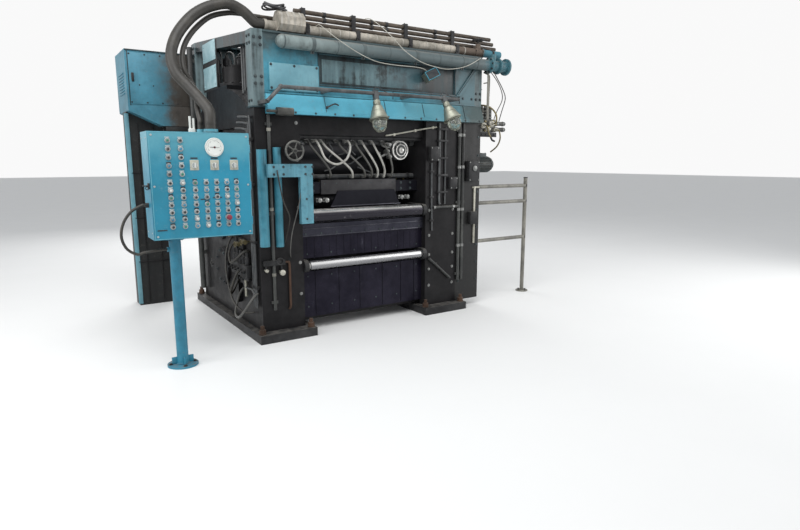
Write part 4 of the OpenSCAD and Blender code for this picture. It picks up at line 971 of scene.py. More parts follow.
# The beam
class MILL_OT_beam(Fitting, bpy.types.Operator):
    """Plates, seams and bolts of the beams, the apron and the posts"""

    bl_idname = "mill.beam"
    bl_label = "Beams and posts"
    parts = ("recess", "plates", "apron", "posts", "rear")

    def recess(self):
        bm = start()
        (x0, x1), (z0, z1) = RECESS_X, RECESS_Z
        rim = 0.014
        border(bm, (x0 - rim, x1 + rim), (FACE_Y - 0.006, FACE_Y + 0.002), (z0 - rim, z1 + rim),
            rim, 0.002)
        settle("recess_frame", bm, "dirty_blue")
        bm = start()
        plate(bm, (x0 + 0.004, FACE_Y + 0.0085, z0 + 0.004),
            (x1 - 0.004, FACE_Y + 0.0115, z1 - 0.004), 0.001)
        settle("recess_floor", bm, "recess_paint")
        bm = start()
        plate(bm, (x0 + 0.03, FACE_Y + 0.0055, z0 + 0.025), (x1 - 0.42, FACE_Y + 0.009, z1 - 0.045),
            0.0012)
        settle("name_plate_bare", bm, "bare_plate")

    def plates(self):
        bm = start()
        plate(bm, (-0.984, FACE_Y - 0.0125, 2.256), (-0.516, FACE_Y - 0.0095, 2.484), 0.001)
        settle("cover_plate_face", bm, "pale_blue")
        bm = start()
        bolts(bm, (-0.968, -0.75, -0.532), FACE_Y - 0.0125, (2.272, 2.468), FRONT, self.size * 0.8)
        bolts(bm, spaced(RECESS_X[0] + 0.06, RECESS_X[1] - 0.06, 9), FACE_Y - 0.0005,
            (RECESS_Z[0] - 0.04, RECESS_Z[1] + 0.062), FRONT, self.size * 0.75)
        bolts(bm, (1.14, 1.2, 1.32), FACE_Y - 0.0005, 2.3, FRONT, self.size)
        settle("beam_bolts", bm, "dirty_bolt")
        bm = start()
        for xs, low, high in (
            ((-0.7, 0.3, 1.15), 2.244, 2.326),
            ((-0.35, 0.26, 0.84), 2.606, 2.728),
        ):
            for x in xs:
                run(bm, riser(x, FACE_Y - 0.001, low, high), 0.003, 2, 0)
        run(bm, [(1.12, FACE_Y - 0.014, 2.33), (1.352, FACE_Y - 0.014, 2.6)], 0.004, 2, 0)
        settle("beam_welds", bm, "dirty_blue")

    def apron(self):
        bm = start()
        bolts(bm, spaced(-0.97, 1.38, 13), APRON_Y - 0.0002, APRON_Z + 0.015, FRONT,
            self.size * 0.7)
        settle("apron_bolts", bm, "dirty_bolt")
        out = Vector((0, -0.14, 0.05)).normalized()
        top, foot = Vector((0, FACE_Y - 0.02, 2.22)), Vector((0, APRON_Y, 2.08))
        bm = start()
        for x in (-0.47, 0.18, 0.64, 1.18):
            a, b = top + X * x, foot + X * x
            run(bm, [a + out * 0.001, b + out * 0.001], 0.003, 2, 0)
        settle("apron_seams", bm, "dirty_blue")
        bm = start()
        a = top.lerp(foot, 0.7) - X * 0.46 + out * 0.006
        run(bm, [a, a + X * 0.03 + Z * 0.012 + out * 0.012, a + X * 0.075 + Z * 0.028 + out * 0.016,
                 a + X * 0.115 + Z * 0.02 + out * 0.01], 0.007)
        rod(bm, a - out * 0.004, a + out * 0.01, 0.012, 12)
        settle("apron_hook", bm, "cap_black")

    def posts(self):
        bm = start()
        for x in (-1.08, 1.41):
            for y in (FACE_Y, REAR_Y - 0.15):
                plate(bm, (x - 0.07, y - 0.012, SHOULDER_Z),
                    (x + 0.07, y + 0.138, SHOULDER_Z + 0.014), 0.003)
        for x in (-1.128, 1.362):
            for y in (FACE_Y, REAR_Y - 0.15):
                for side in (0.01, 0.14):
                    foot = Vector((x + 0.048, y + side, SHOULDER_Z + 0.015))
                    run(bm, [foot, foot + Z * 0.001], 0.004, 2, 0)
        settle("post_feet", bm, "dirty_blue")
        bm = start()
        bolts(bm, (-1.108, -1.052, 1.382, 1.438), ON_FACE, (2.3, 2.36, 2.62, 2.68), FRONT,
            self.size)
        bolts(bm, ON_LEFT, (-0.905, -0.845), (2.16, 2.64, 2.7), -X, self.size)
        bolts(bm, ON_LEFT, (0.845, 0.905), (2.16, 2.78, 2.85), -X, self.size)
        settle("post_bolts", bm, "dirty_bolt")

    def rear(self):
        bm = start()
        for x in spaced(-0.96, 1.29, 6):
            plate(bm, (x - 0.006, REAR_Y - 0.001, 2.24), (x + 0.006, REAR_Y + 0.022, 2.88), 0.002)
        for z in (2.226, 2.878):
            plate(bm, (-1.028, REAR_Y - 0.001, z), (1.358, REAR_Y + 0.016, z + 0.014), 0.002)
        settle("rear_ribs", bm, "post_grey")
        bm = start()
        for x in spaced(-0.9, 1.23, 6):
            bolts(bm, x + 0.05, REAR_Y - 0.0005, (2.3, 2.56, 2.82), Y, self.large * 0.7)
        settle("rear_beam_bolts", bm, "dirty_bolt")


class MILL_OT_duct(Fitting, bpy.types.Operator):
    """Bands, flanges and clamps of the duct and of the pipes on the beam"""

    bl_idname = "mill.duct"
    bl_label = "Duct and top pipes"
    parts = ("bands", "pipes", "wraps", "coil")

    def bands(self):
        y, z, r = DUCT
        bm = start()
        for x in STRAPS:
            band_x(bm, x + 0.02, 0.034, y, z, r + 0.003)
            plate(bm, (x + 0.004, y - 0.01, z - r - 0.022), (x + 0.036, y + 0.01, z - r - 0.001),
                0.002)
        for x in (-0.36, 0.2, 0.8, 1.3):
            band_x(bm, x, 0.006, y, z, r + 0.0016)
        band_x(bm, -0.874, 0.012, y, z, r + 0.003)
        settle("duct_bands", bm, "duct_band")
        bm = start()
        for x in STRAPS:
            pin(bm, (x + 0.02, y - 0.018, z - r - 0.012), Y, 0.036, 0.005, 10)
            bolt(bm, (x + 0.02, y - 0.01, z - r - 0.012), FRONT, self.size * 0.7)
        for x, out in ((1.49, -X), (1.63, X)):
            ring_of_bolts(bm, (x, y, z), out, r + 0.014, 8, self.size * 0.8, 0.2)
        pin(bm, (1.56, y, z + 0.117), Z, 0.033, 0.012, 16)
        run(bm, [(1.56, y, z + 0.145), (1.52, y - 0.02, z + 0.15), (1.45, y - 0.055, z + 0.152)],
            0.006)
        settle("duct_fastenings", bm, "dark_steel")

    def pipes(self):
        y, z, r = LAGGED
        bm = start()
        for x in STRAPS:
            stud(bm, (x + 0.02, FACE_Y + 0.014, 2.846), Z, self.size * 0.6)
            stud(bm, (x + 0.02, SLIM_Y, SLIM_ZS[2] + SLIM_R + 0.008), Z, self.size * 0.8)
            bolt(bm, (x + 0.02, FACE_Y + 0.002, 2.775), FRONT, self.size * 0.8)
        for x in (1.38, 1.48):
            ring_of_bolts(bm, (x, y, z), -X, r + 0.002, 6, self.size * 0.5)
            ring_of_bolts(bm, (x + 0.025, y, z), X, r + 0.002, 6, self.size * 0.5)
        hoop(bm, (1.44, y, z + 0.13), Z, 0.06, 0.007)
        pin(bm, (1.44, y, z + 0.08), Z, 0.06, 0.008, 12)
        for angle in range(0, 180, 60):
            a = math.radians(angle)
            rod(bm, (1.44 - 0.06 * math.cos(a), y - 0.06 * math.sin(a), z + 0.13),
                (1.44 + 0.06 * math.cos(a), y + 0.06 * math.sin(a), z + 0.13), 0.004, 8)
        for x in (-0.38, 0.13, 0.3, 0.9):
            for z_slim in SLIM_ZS[1:]:
                band_x(bm, x, 0.03, SLIM_Y, z_slim, SLIM_R + 0.0035, 24)
        settle("pipe_fastenings", bm, "dark_steel")

    def wraps(self):
        y, z, r = LAGGED
        bm = start()
        for i in range(19):
            band_x(bm, -0.57 + i * 0.1, 0.012, y, z, r + 0.0022, 32)
        for x in (-0.87, -0.81, -0.75, -0.69):
            part = start()
            bmesh.ops.create_cone(part, cap_ends=True, segments=8, radius1=0.0905, radius2=0.0905,
                depth=0.02)
            part.transform(Matrix.Rotation(math.radians(22.5), 4, "Z"))
            lay_in(bm, part, (x, y - 0.03, z + 0.038), X)
        settle("lagging_bands", bm, "beige_pipe")

    def coil(self):
        """Spare length of cable, left in loops on the wrapped joint"""
        bm = start()
        for i in range(3):
            loop = [
                (-0.905 + (0.11 - 0.012 * i) * math.cos(a),
                -0.935 + (0.05 - 0.006 * i) * math.sin(a),
                 2.934 + 0.014 * i + 0.012 * math.sin(2 * a + i))
                for a in (FULL * k / 16 for k in range(17))
            ]
            run(bm, loop, 0.008, 3, 3)
        settle("coiled_lead", bm, "cap_black")


class MILL_OT_lamps(bpy.types.Operator):
    """Necks, guards and rims of the two bell lamps, and the spot lamp's face"""

    bl_idname = "mill.lamps"
    bl_label = "Work lamps"

    def execute(self, context):
        for i, (x, tilt_x, tilt_y, clamp) in enumerate(LAMPS):
            self.lamp(i + 1, x, tilt_x, tilt_y, clamp)
        self.spot()
        return {"FINISHED"}

    def lamp(self, number, x, tilt_x, tilt_y, clamp):
        place = (
            Matrix.Translation((x, RAIL_Y, RAIL_Z))
            @ Matrix.Rotation(math.radians(tilt_y), 4, "Y")
            @ Matrix.Rotation(math.radians(tilt_x), 4, "X")
        )
        top = -clamp
        bm = start()
        for z in (0.018, 0.026, 0.034, 0.042):
            pin(bm, (0, 0, top - z), -Z, 0.004, 0.0355, 32)
        hoop(bm, (0, 0, top - BELL_H + 0.008), Z, 0.0905, 0.0045, 48)
        hoop(bm, (0, 0, top - 0.11), Z, 0.0615, 0.003, 40)
        bmesh.ops.transform(bm, matrix=place, verts=bm.verts[:])
        settle(f"lamp_rims_{number}", bm, "lamp_metal")
        bm = start()
        rim = top - BELL_H
        hoop(bm, (0, 0, rim - 0.006), Z, 0.07, 0.0035, 40, 8)
        hoop(bm, (0, 0, rim - 0.075), Z, 0.058, 0.003, 40, 8)
        for k in range(6):
            a = FULL * k / 6
            c, s = math.cos(a), math.sin(a)
            run(bm, [(0.07 * c, 0.07 * s, rim - 0.004), (0.074 * c, 0.074 * s, rim - 0.04),
                     (0.06 * c, 0.06 * s, rim - 0.074), (0.034 * c, 0.034 * s, rim - 0.106),
                     (0.004 * c, 0.004 * s, rim - 0.114)], 0.0028, 2, 4)
        bmesh.ops.transform(bm, matrix=place, verts=bm.verts[:])
        settle(f"lamp_guard_{number}", bm, "lamp_metal")
        bm = start()
        bolt(bm, (0.0225, 0, -0.008), X, 0.016)
        bolt(bm, (-0.0225, 0, -0.008), -X, 0.016)
        rod(bm, (0, 0.02, 0.0), (0, 0.034, 0.004), 0.009, 12)
        bmesh.ops.transform(bm, matrix=place, verts=bm.verts[:])
        settle(f"lamp_screws_{number}", bm, "dark_steel")

    def spot(self):
        at = (
            Matrix.Translation((0.72, -1.012, 2.495))
            @ Matrix.Rotation(math.radians(-25), 4, "Y")
            @ Matrix.Rotation(math.radians(-20), 4, "X")
        )
        bm = start()
        plate(bm, (-0.07, -0.043, -0.04), (0.07, -0.0395, 0.04), 0.001, at)
        settle("spot_glass", bm, "smoked_glass")
        bm = start()
        for low_c, high_c in (
            ((-0.077, -0.046, 0.04), (0.077, -0.034, 0.047)),
            ((-0.077, -0.046, -0.047), (0.077, -0.034, -0.04)),
            ((-0.077, -0.046, -0.04), (-0.07, -0.034, 0.04)),
            ((0.07, -0.046, -0.04), (0.077, -0.034, 0.04)),
        ):
            plate(bm, low_c, high_c, 0.0015, at)
        for z in (-0.03, -0.012, 0.006, 0.024):
            plate(bm, (-0.06, 0.038, z), (0.06, 0.052, z + 0.006), 0.001, at)
        settle("spot_frame", bm, "blue_paint")


# The roll window
class MILL_OT_window(Fitting, bpy.types.Operator):
    """Fittings round the guide rolls: tables, plates, bearings, sprays and knobs"""

    bl_idname = "mill.window"
    bl_label = "Roll window"
    parts = ("tables", "bearings", "header", "spray_unions", "feed_pipes", "gauge", "twigs")

    def tables(self):
        bm = start()
        bolts(bm, spaced(-0.66, 0.66, 9), TABLE_Y - SEAT, BAND_Z[0] + 0.025, FRONT,
            self.size * 0.7)
        for x in spaced(-0.64, 0.64, 6):
            bolt(bm, (x, TABLE_Y + 0.0197, 0.76), FRONT, self.size * 0.6)
            bolt(bm, (x, TABLE_Y + 0.0197, 0.54), FRONT, self.size * 0.6)
            bolt(bm, (x, TABLE_Y + 0.0197, 0.24), FRONT, self.size * 0.6)
        both_sides(bm)
        settle("table_bolts", bm, "dirty_bolt")
        bm = start()
        plate(bm, (-0.7, TABLE_Y - 0.006, BAND_Z[1] - 0.048),
            (0.7, TABLE_Y - 0.0005, BAND_Z[1] - 0.04), 0.002)
        plate(bm, (-0.7, TABLE_Y - 0.005, BAND_Z[0] + 0.002),
            (0.7, TABLE_Y - 0.0005, BAND_Z[0] + 0.012), 0.002)
        both_sides(bm)
        settle("table_edges", bm, "band_metal")
        bm = start()
        for x in (-0.56, -0.3, -0.06, 0.21, 0.44, 0.61):
            plate(bm, (x - 0.0025, TABLE_Y + 0.014, 0.15), (x + 0.0025, TABLE_Y + 0.0205, 0.585),
                0.001)
        for x in spaced(-0.64, 0.64, 17):
            plate(bm, (x - 0.0015, TABLE_Y + 0.017, 0.726), (x + 0.0015, TABLE_Y + 0.0205, 0.922),
                0.0006)
        both_sides(bm)
        settle("drip_ribs", bm, "oily_plate")

    def bearings(self):
        bm = start()
        ring = 0.045 * math.sqrt(0.5)
        for side in (-1, 1):
            face, inward = side * (INNER_X - 0.045), -X * side
            for z in (UPPER_ROLL_Z, LOWER_ROLL_Z):
                bolts(bm, face, (GUIDE_Y - ring, GUIDE_Y + ring), (z - ring, z + ring), inward,
                    self.size * 0.6)
                bolts(bm, face, (GUIDE_Y + 0.11, GUIDE_Y + 0.2), (z - 0.035, z + 0.035), inward,
                    self.size)
        settle("bearing_bolts", bm, "dirty_bolt")
        bm = start()
        for z in (UPPER_ROLL_Z, LOWER_ROLL_Z):
            for side in (-1, 1):
                rod(bm, (side * 0.6475, GUIDE_Y, z), (side * 0.664, GUIDE_Y, z), 0.036, 40)
        settle("journal_collars", bm, "bright_roll")

    def header(self):
        bm = start()
        bolts(bm, spaced(-0.4, 0.39, 7), HEADER_Y - 0.0103, HEADER_Z + 0.095, FRONT,
            self.size * 0.65)
        for x in (-0.62, -0.52, 0.5, 0.62):
            for z in (0.025, 0.085):
                bolt(bm, (x, HEADER_Y - SEAT, HEADER_Z + z), FRONT, self.size)
        both_sides(bm)
        settle("header_bolts", bm, "dirty_bolt")
        bm = start()
        plate(bm, (-0.438, HEADER_Y - 0.0125, HEADER_Z - 0.008),
            (0.428, HEADER_Y - 0.0095, HEADER_Z + 0.128), 0.001)
        settle("header_face", bm, "header_grey")
        bm = start()
        plate(bm, (-0.345, HEADER_Y - 0.034, HEADER_Z - 0.134),
            (0.475, HEADER_Y - 0.0255, HEADER_Z - 0.124), 0.002)
        settle("wiper_lip", bm, "band_metal")
        bm = start()
        for x in (-0.47, -0.395, 0.485, 0.56):
            at = Vector((x, HEADER_Y - 0.01, HEADER_Z - 0.065))
            turned(bm, at, FRONT, [(0, -0.012), (0.01, -0.012), (0.01, 0.018), (0.022, 0.022),
                (0.026, 0.032), (0.022, 0.044), (0.01, 0.049), (0, 0.05)], 24)
            plate(bm, at + Vector((-0.02, 0.004, -0.02)), at + Vector((0.02, 0.012, 0.02)), 0.002)
        both_sides(bm)
        settle("header_knobs", bm, "bright_pipe_end")
        bm = start()
        for x in spaced(-0.6, 0.6, 13):
            turned(bm, (x, SPRAY_FACE + 0.045, SPRAY_LOW - 0.022), -Z + Y * 0.6, [(0, 0),
                (0.009, 0), (0.009, 0.018), (0.005, 0.03), (0, 0.031)], 12)
        settle("spray_nozzles", bm, "brass")

    def spray_unions(self):
        bm = start()
        tops = [(x, SPRAY_TOP) for x in (*HOSE_TOPS, *LOOP_XS)]
        for x, z in (*tops, *((x, SPRAY_LOW) for x in HOSE_FEET)):
            pin(bm, (x, SPRAY_FACE - 0.018, z), Y, 0.02, 0.0185, 6)
            pin(bm, (x, SPRAY_FACE - 0.032, z), Y, 0.016, 0.0145, 20)
        settle("hose_unions", bm, "bright_pipe_end")
        bm = start()
        for x in (-0.67, 0.64):
            band_x(bm, x, 0.028, -0.7, SPRAY_TOP, 0.036)
            band_x(bm, x, 0.028, -0.7, SPRAY_LOW, 0.031)
        for x in (-0.34, 0.09, 0.36):
            band_x(bm, x, 0.012, -0.7, SPRAY_TOP, 0.0325)
            band_x(bm, x, 0.012, -0.7, SPRAY_LOW, 0.0275)
        settle("spray_collars", bm, "dark_steel")

    def feed_pipes(self):
        bm = start()
        pin(bm, (-0.704, -0.852, 1.868), X, 1.408, 0.021, 24)
        for x in spaced(-0.62, 0.62, 6):
            pin(bm, (x - 0.014, -0.852, 1.868), X, 0.028, 0.0255, 24)
            rod(bm, (x, -0.852, 1.868), (x, -0.8805, 1.892), 0.007, 10)
        settle("feed_pipe", bm, "dark_steel")
        bm = start()
        run(bm, [(0.24, -0.909, 1.892), (0.3, -0.91, 1.9), (0.45, -0.91, 1.925),
                 (0.64, -0.912, 1.958), (0.7, -0.95, 1.97), (0.76, -0.962, 1.98),
                 (0.84, -0.962, 1.99)], 0.008)
        for x, y, z in ((0.34, -0.901, 1.903), (0.6, -0.901, 1.95), (0.79, -0.951, 1.984)):
            plate(bm, (x - 0.01, y - 0.018, z - 0.014), (x + 0.01, y + 0.0005, z + 0.014), 0.002)
        settle("tie_pipe", bm, "pale_metal")

    def gauge(self):
        """The round bright valve: ring, face, spindle and its ring of nuts"""
        at = Vector((0.48, -0.8305, 1.75))
        bm = start()
        hoop(bm, at + Y * 0.02, Y, 0.092, 0.01, 48)
        hoop(bm, at + Y * 0.002, Y, 0.058, 0.006, 40)
        turned(bm, at + Y * 0.002, FRONT, [(0, 0), (0.03, 0), (0.03, 0.01), (0.016, 0.016),
            (0.016, 0.034), (0.009, 0.038), (0, 0.038)], 28)
        settle("valve_rings", bm, "bright_roll")
        bm = start()
        ring_of_bolts(bm, at + Y * 0.02, FRONT, 0.076, 8, 0.014)
        for dx, dz in ((-0.1, 0.03), (-0.11, -0.04)):
            run(bm, [at + Vector((dx * 0.7, 0.06, dz)), at + Vector((dx * 1.4, 0.05, dz)),
                at + Vector((dx * 1.9, 0.07, dz * 1.6)),
                at + Vector((dx * 1.9, 0.09, dz * 1.6 + 0.04))], 0.012)
        for dx, dz, r in ((-0.13, 0.055, 0.024), (-0.15, -0.01, 0.02), (-0.125, -0.065, 0.022)):
            turned(bm, at + Vector((dx, 0.045, dz)), FRONT, [(0, -0.03), (r, -0.03), (r, 0.012),
                (r * 0.7, 0.02), (r * 0.7, 0.034), (0, 0.036)], 20)
        settle("valve_fittings", bm, "bright_pipe_end")

    def twigs(self):
        """Small bent pipes and drop wires among the spray hoses"""
        bm = start()
        for route in (
            [(-0.36, 0, 1.835), (-0.34, 0.02, 1.8), (-0.3, 0.01, 1.73), (-0.34, 0, 1.66),
             (-0.3, 0, 1.6)],
            [(-0.23, 0, 1.7), (-0.17, 0.02, 1.72), (-0.11, 0.025, 1.78), (-0.03, 0.01, 1.815)],
            [(-0.13, 0, 1.79), (-0.11, 0.03, 1.745), (-0.06, 0.03, 1.7)],
            [(-0.2, 0, 1.64), (-0.12, 0.015, 1.61), (-0.03, 0.01, 1.66), (0.03, 0, 1.69)],
            [(-0.39, 0, 1.545), (-0.33, 0.01, 1.56), (-0.27, 0, 1.59)],
            [(-0.02, 0, 1.58), (0.06, 0.01, 1.55), (0.15, 0, 1.52)],
        ):
            run(bm, [(x, SPRAY_FACE - 0.04 - out, z) for x, out, z in route], 0.006)
        settle("spray_drop_pipes", bm, "bright_pipe")


BOTTLES = (-1.065, -0.937, -0.809)


class MILL_OT_left_side(Fitting, bpy.types.Operator):
    """Fittings of the left post and the left housing's side"""

    bl_idname = "mill.left_side"
    bl_label = "Left post and side"
    parts = ("strips", "wheel", "side_plates", "side_pipes", "low_valves", "opening",
        "post_fittings")

    def strips(self):
        bm = start()
        for x, top in ((-1.0875, 1.74), (-0.945, 1.76)):
            bolts(bm, x, FACE_Y - 0.0253, spaced(0.92, top - 0.04, 6), FRONT, self.size * 0.6)
        bolts(bm, (-1.02, -0.93, -0.72, -0.65), -1.0703, (1.525, 1.59), FRONT, self.size * 0.8)
        bolts(bm, -0.715, -1.0703, (1.12, 1.3), FRONT, self.size * 0.7)
        settle("bracket_screws", bm, "dirty_bolt")
        bm = start()
        for x0, x1, z0, z1 in ((-1.131, -1.044, 0.879, 1.741), (-0.981, -0.909, 0.869, 1.761)):
            foot = ((x0 + x1) / 2, FACE_Y - 0.016, z0)
            part = start()
            bmesh.ops.create_circle(part, cap_ends=True, segments=28, radius=(x1 - x0) / 2)
            bmesh.ops.translate(part, vec=foot, verts=part.verts[:])
            out = bmesh.ops.extrude_face_region(part, geom=part.faces[:])["geom"]
            raised = [v for v in out if isinstance(v, bmesh.types.BMVert)]
            bmesh.ops.translate(part, vec=Z * (z1 - z0), verts=raised)
            bmesh.ops.recalc_face_normals(part, faces=part.faces[:])
            pour(bm, part)
        settle("round_post_covers", bm, "blue_paint")
        bm = start()
        run(bm, [(-1.013, FACE_Y - 0.016, 2.045), (-1.013, FACE_Y - 0.016, 2.11),
            (-1.013, FACE_Y - 0.013, 2.215)], 0.01, 3, 3)
        for z in (1.9, 1.5, 1.2, 0.6):
            pin(bm, (-1.013, FACE_Y - 0.0153, z), Z, 0.028, 0.0185, 20)
        settle("conduit_couplings", bm, "pale_pipe")

    def wheel(self):
        x, z = -0.83, 1.73
        bm = start()
        bolts(bm, (x - 0.034, x + 0.034), -1.0382, (z - 0.034, z + 0.034), FRONT, self.size * 0.55)
        settle("wheel_box_bolts", bm, "dirty_bolt")
        bm = start()
        pin(bm, (x, -1.125, z), Y, 0.016, 0.011, 6)
        settle("wheel_nut", bm, "dark_steel", body="wheel")
        bm = start()
        turned(bm, (x + 0.058, -1.104, z + 0.058), FRONT, [(0, 0), (0.008, 0), (0.008, 0.006),
            (0.013, 0.016), (0.013, 0.044), (0.008, 0.05), (0, 0.051)], 20)
        settle("wheel_handle", bm, "cap_black", body="wheel")

    def side_plates(self):
        """Chock keepers, bearing cover bolts and cylinder flange nuts, on both sides"""
        bm = start()
        for side in (-1, 1):
            out = X * side
            face = side * (OUTER_X + SEAT)
            for z in (0.52, 0.86, 1.3, 1.7):
                for y in (-0.5, 0.5):
                    plate(bm, Vector((min(face, face + side * 0.03), y - 0.06, z - 0.05)),
                          Vector((max(face, face + side * 0.03), y + 0.06, z + 0.05)), 0.004)
                    bolts(bm, face + side * 0.0303, (y - 0.034, y + 0.034), z, out,
                        self.large * 0.8)
        settle("chock_keepers", bm, "dark_steel")
        bm = start()
        for side in (-1, 1):
            out = X * side
            for z, radius in ((0.5694, 0.165), (1.5906, 0.165), (0.9648, 0.098), (1.1952, 0.098)):
                ring_of_bolts(bm, (side * 1.2003, 0, z), out, radius, 8, self.large * 0.7, 0.3)
        settle("cover_bolts", bm, "dirty_bolt")
        bm = start()
        for x in (-0.92, 0.92):
            ring_of_bolts(bm, (x, 0, 2.39), Z, 0.182, 12, self.large * 0.8)
            ring_of_bolts(bm, (x, 0, 2.549), Z, 0.148, 8, self.large * 0.7)
            pin(bm, (x, 0, 2.572), Z, 0.068, 0.03, 24)
            hoop(bm, (x, 0, 2.63), Y, 0.034, 0.009)
            for y in (-0.19, 0.38):
                hoop(bm, (x, y, 2.395), X, 0.042, 0.013)
        settle("cylinder_nuts", bm, "dark_steel")
        bm = start()
        for side in (-1, 1):
            for dx in (-0.242, 0.242):
                for y in (-1.01, 1.01):
                    at = Vector((side * 0.92 + dx, y, 0.08))
                    rod(bm, at + Z * 0.0005, at + Z * 0.012, 0.034, 24)
                    rod(bm, at + Z * 0.011, at + Z * 0.045, 0.031, 6)
                    rod(bm, at - Z * 0.05, at + Z * 0.08, 0.018, 16)
        settle("foundation_nuts", bm, "rust")

    def side_pipes(self):
        """Grease and oil pipes with their clips on the outer face of the left housing"""
        bm = start()
        x = -OUTER_X - 0.022
        for i, y in enumerate((-0.88, -0.842, -0.804)):
            run(bm, [*riser(x, y, 0.3, 0.7, 1.3, 1.96 - i * 0.05), (x, y + 0.05, 2.02 - i * 0.05),
                (x, y + 0.3, 2.04 - i * 0.05)], 0.01)
        for y0, z in ((-0.64, 1.02), (-0.6, 0.45)):
            run(bm, [(x, -0.88, z - 0.12), (x - 0.01, -0.8, z), (x - 0.01, y0, z),
                (x, y0 + 0.08, z + 0.06), (x, y0 + 0.1, z + 0.22)], 0.009)
        settle("side_pipes", bm, "bright_pipe")
        bm = start()
        for z in (0.48, 0.9, 1.42, 1.82):
            plate(bm, (-OUTER_X - 0.036, -0.905, z), (ON_LEFT, -0.78, z + 0.024), 0.002)
            bolts(bm, -OUTER_X - 0.036, (-0.861, -0.823), z + 0.012, -X, 0.012)
        settle("side_pipe_clips", bm, "dark_steel")

    def low_valves(self):
        """Valve group low on the left housing, with its short hoses"""
        bm = start()
        x = -OUTER_X
        plate(bm, (x - 0.07, -0.76, 0.56), (ON_LEFT, -0.3, 0.68), 0.006)
        for y in (-0.7, -0.61, -0.52, -0.43, -0.35):
            turned(bm, (x - 0.036, y, 0.68), Z, [(0, -0.002), (0.026, -0.002), (0.026, 0.07),
                (0.018, 0.078), (0.018, 0.12), (0, 0.122)], 24)
            turned(bm, (x - 0.0695, y, 0.62), -X, [(0, -0.002), (0.02, -0.002), (0.02, 0.018),
                (0.012, 0.022), (0.012, 0.04), (0, 0.041)], 20)
        settle("low_valve_block", bm, "dark_steel")
        bm = start()
        for y, z in ((-0.7, 0.9), (-0.52, 0.86), (-0.35, 0.94)):
            pin(bm, (x - 0.06, y - 0.03, z), Y, 0.06, 0.022, 20)
            pin(bm, (x - 0.06, y, z), X, 0.0597, 0.01, 12)
            hoop(bm, (x - 0.09, y, z), X, 0.026, 0.004, 28, 8)
        settle("low_taps", bm, "brass")

    def opening(self):
        """Pipes, clips and gauges inside the side opening over the left crown"""
        bm = start()
        for i, y in enumerate((-0.62, -0.56, -0.5)):
            run(bm, [*riser(-1.06, y, 2.3 - 0.02 * i, 2.45, 2.64), (-1.04, y + 0.05, 2.7),
                (-0.98, y + 0.2, 2.715), (-0.9, y + 0.42, 2.715)], 0.012)
        for x in BOTTLES:
            run(bm, [(x, 0.33, 2.716), (x, 0.33, 2.735), (x, 0.25, 2.742), (x, 0.12, 2.7),
                (x, 0.08, 2.56), (x, 0.08, 2.45)], 0.009)
            pin(bm, (x, 0.33, 2.7), Z, 0.03, 0.016, 6)
        settle("crown_pipes", bm, "bright_pipe")
        bm = start()
        for x in BOTTLES:
            for z in (2.42, 2.62):
                pin(bm, (x, 0.33, z), Z, 0.022, 0.0575, 32)
            hoop(bm, (x, 0.33, 2.362), Z, 0.06, 0.006)
        plate(bm, (-1.12, 0.386, 2.415), (-0.75, 0.392, 2.45), 0.002)
        plate(bm, (-1.12, 0.386, 2.615), (-0.75, 0.392, 2.65), 0.002)
        settle("accumulator_bands", bm, "cap_black")
        bm = start()
        plate(bm, (-OUTER_X - 0.0033, 0.035, 2.35), (ON_LEFT, 0.525, 2.816), 0.001)
        settle("opening_cover_frame", bm, "dark_steel")
        bm = start()
        for low, high in ((2.372, 2.588), (2.636, 2.826)):
            plate(bm, (-OUTER_X - 0.0083, 0.06, low), (-OUTER_X - 0.003, 0.49, high), 0.002)
            bolts(bm, -OUTER_X - 0.0083, (0.085, 0.465), (low + 0.03, high - 0.03), -X, 0.014)
        settle("opening_covers", bm, "cover_pale")

    def post_fittings(self):
        """Small manifold and taps low on the left post, and taps on the side"""
        y = FACE_Y - 0.018
        bm = start()
        plate(bm, (-1.112, FACE_Y - 0.034, 0.7), (-0.905, ON_FACE, 0.748), 0.004)
        hoop(bm, (-0.96, FACE_Y - 0.039, 0.735), FRONT, 0.03, 0.006)
        for x, low in ((-1.09, 0.655), (-0.94, 0.625)):
            run(bm, riser(x, y, 0.705, 0.69, low), 0.009)
        plate(bm, (-1.17, -0.7, 0.52), (ON_LEFT, -0.56, 0.548), 0.003)
        settle("post_manifold", bm, "dark_steel")
        bm = start()
        run(bm, [(-0.915, y, 0.724), (-0.88, y, 0.72), *riser(-0.862, y, 0.69, 0.4, 0.3),
            (-0.872, y + 0.012, 0.27)], 0.011)
        settle("post_drain_pipe", bm, "rust")
        bm = start()
        for x, z, r in ((-0.94, 0.63, 1.0), (-1.09, 0.66, 0.6)):
            turned(bm, (x, FACE_Y, z), FRONT, [(0, -0.002), (r * 0.02, -0.002), (r * 0.02, 0.03),
                (r * 0.027, 0.038), (r * 0.027, 0.05), (r * 0.014, 0.06), (0, 0.061)], 28)
        turned(bm, (-1.158, -0.64, 0.546), Z, [(0, 0), (0.012, 0), (0.012, 0.04), (0.03, 0.046),
            (0.03, 0.062), (0, 0.064)], 28)
        pin(bm, (-1.158, -0.6, 0.36), Z, 0.162, 0.014, 20)
        settle("post_taps", bm, "pale_metal")


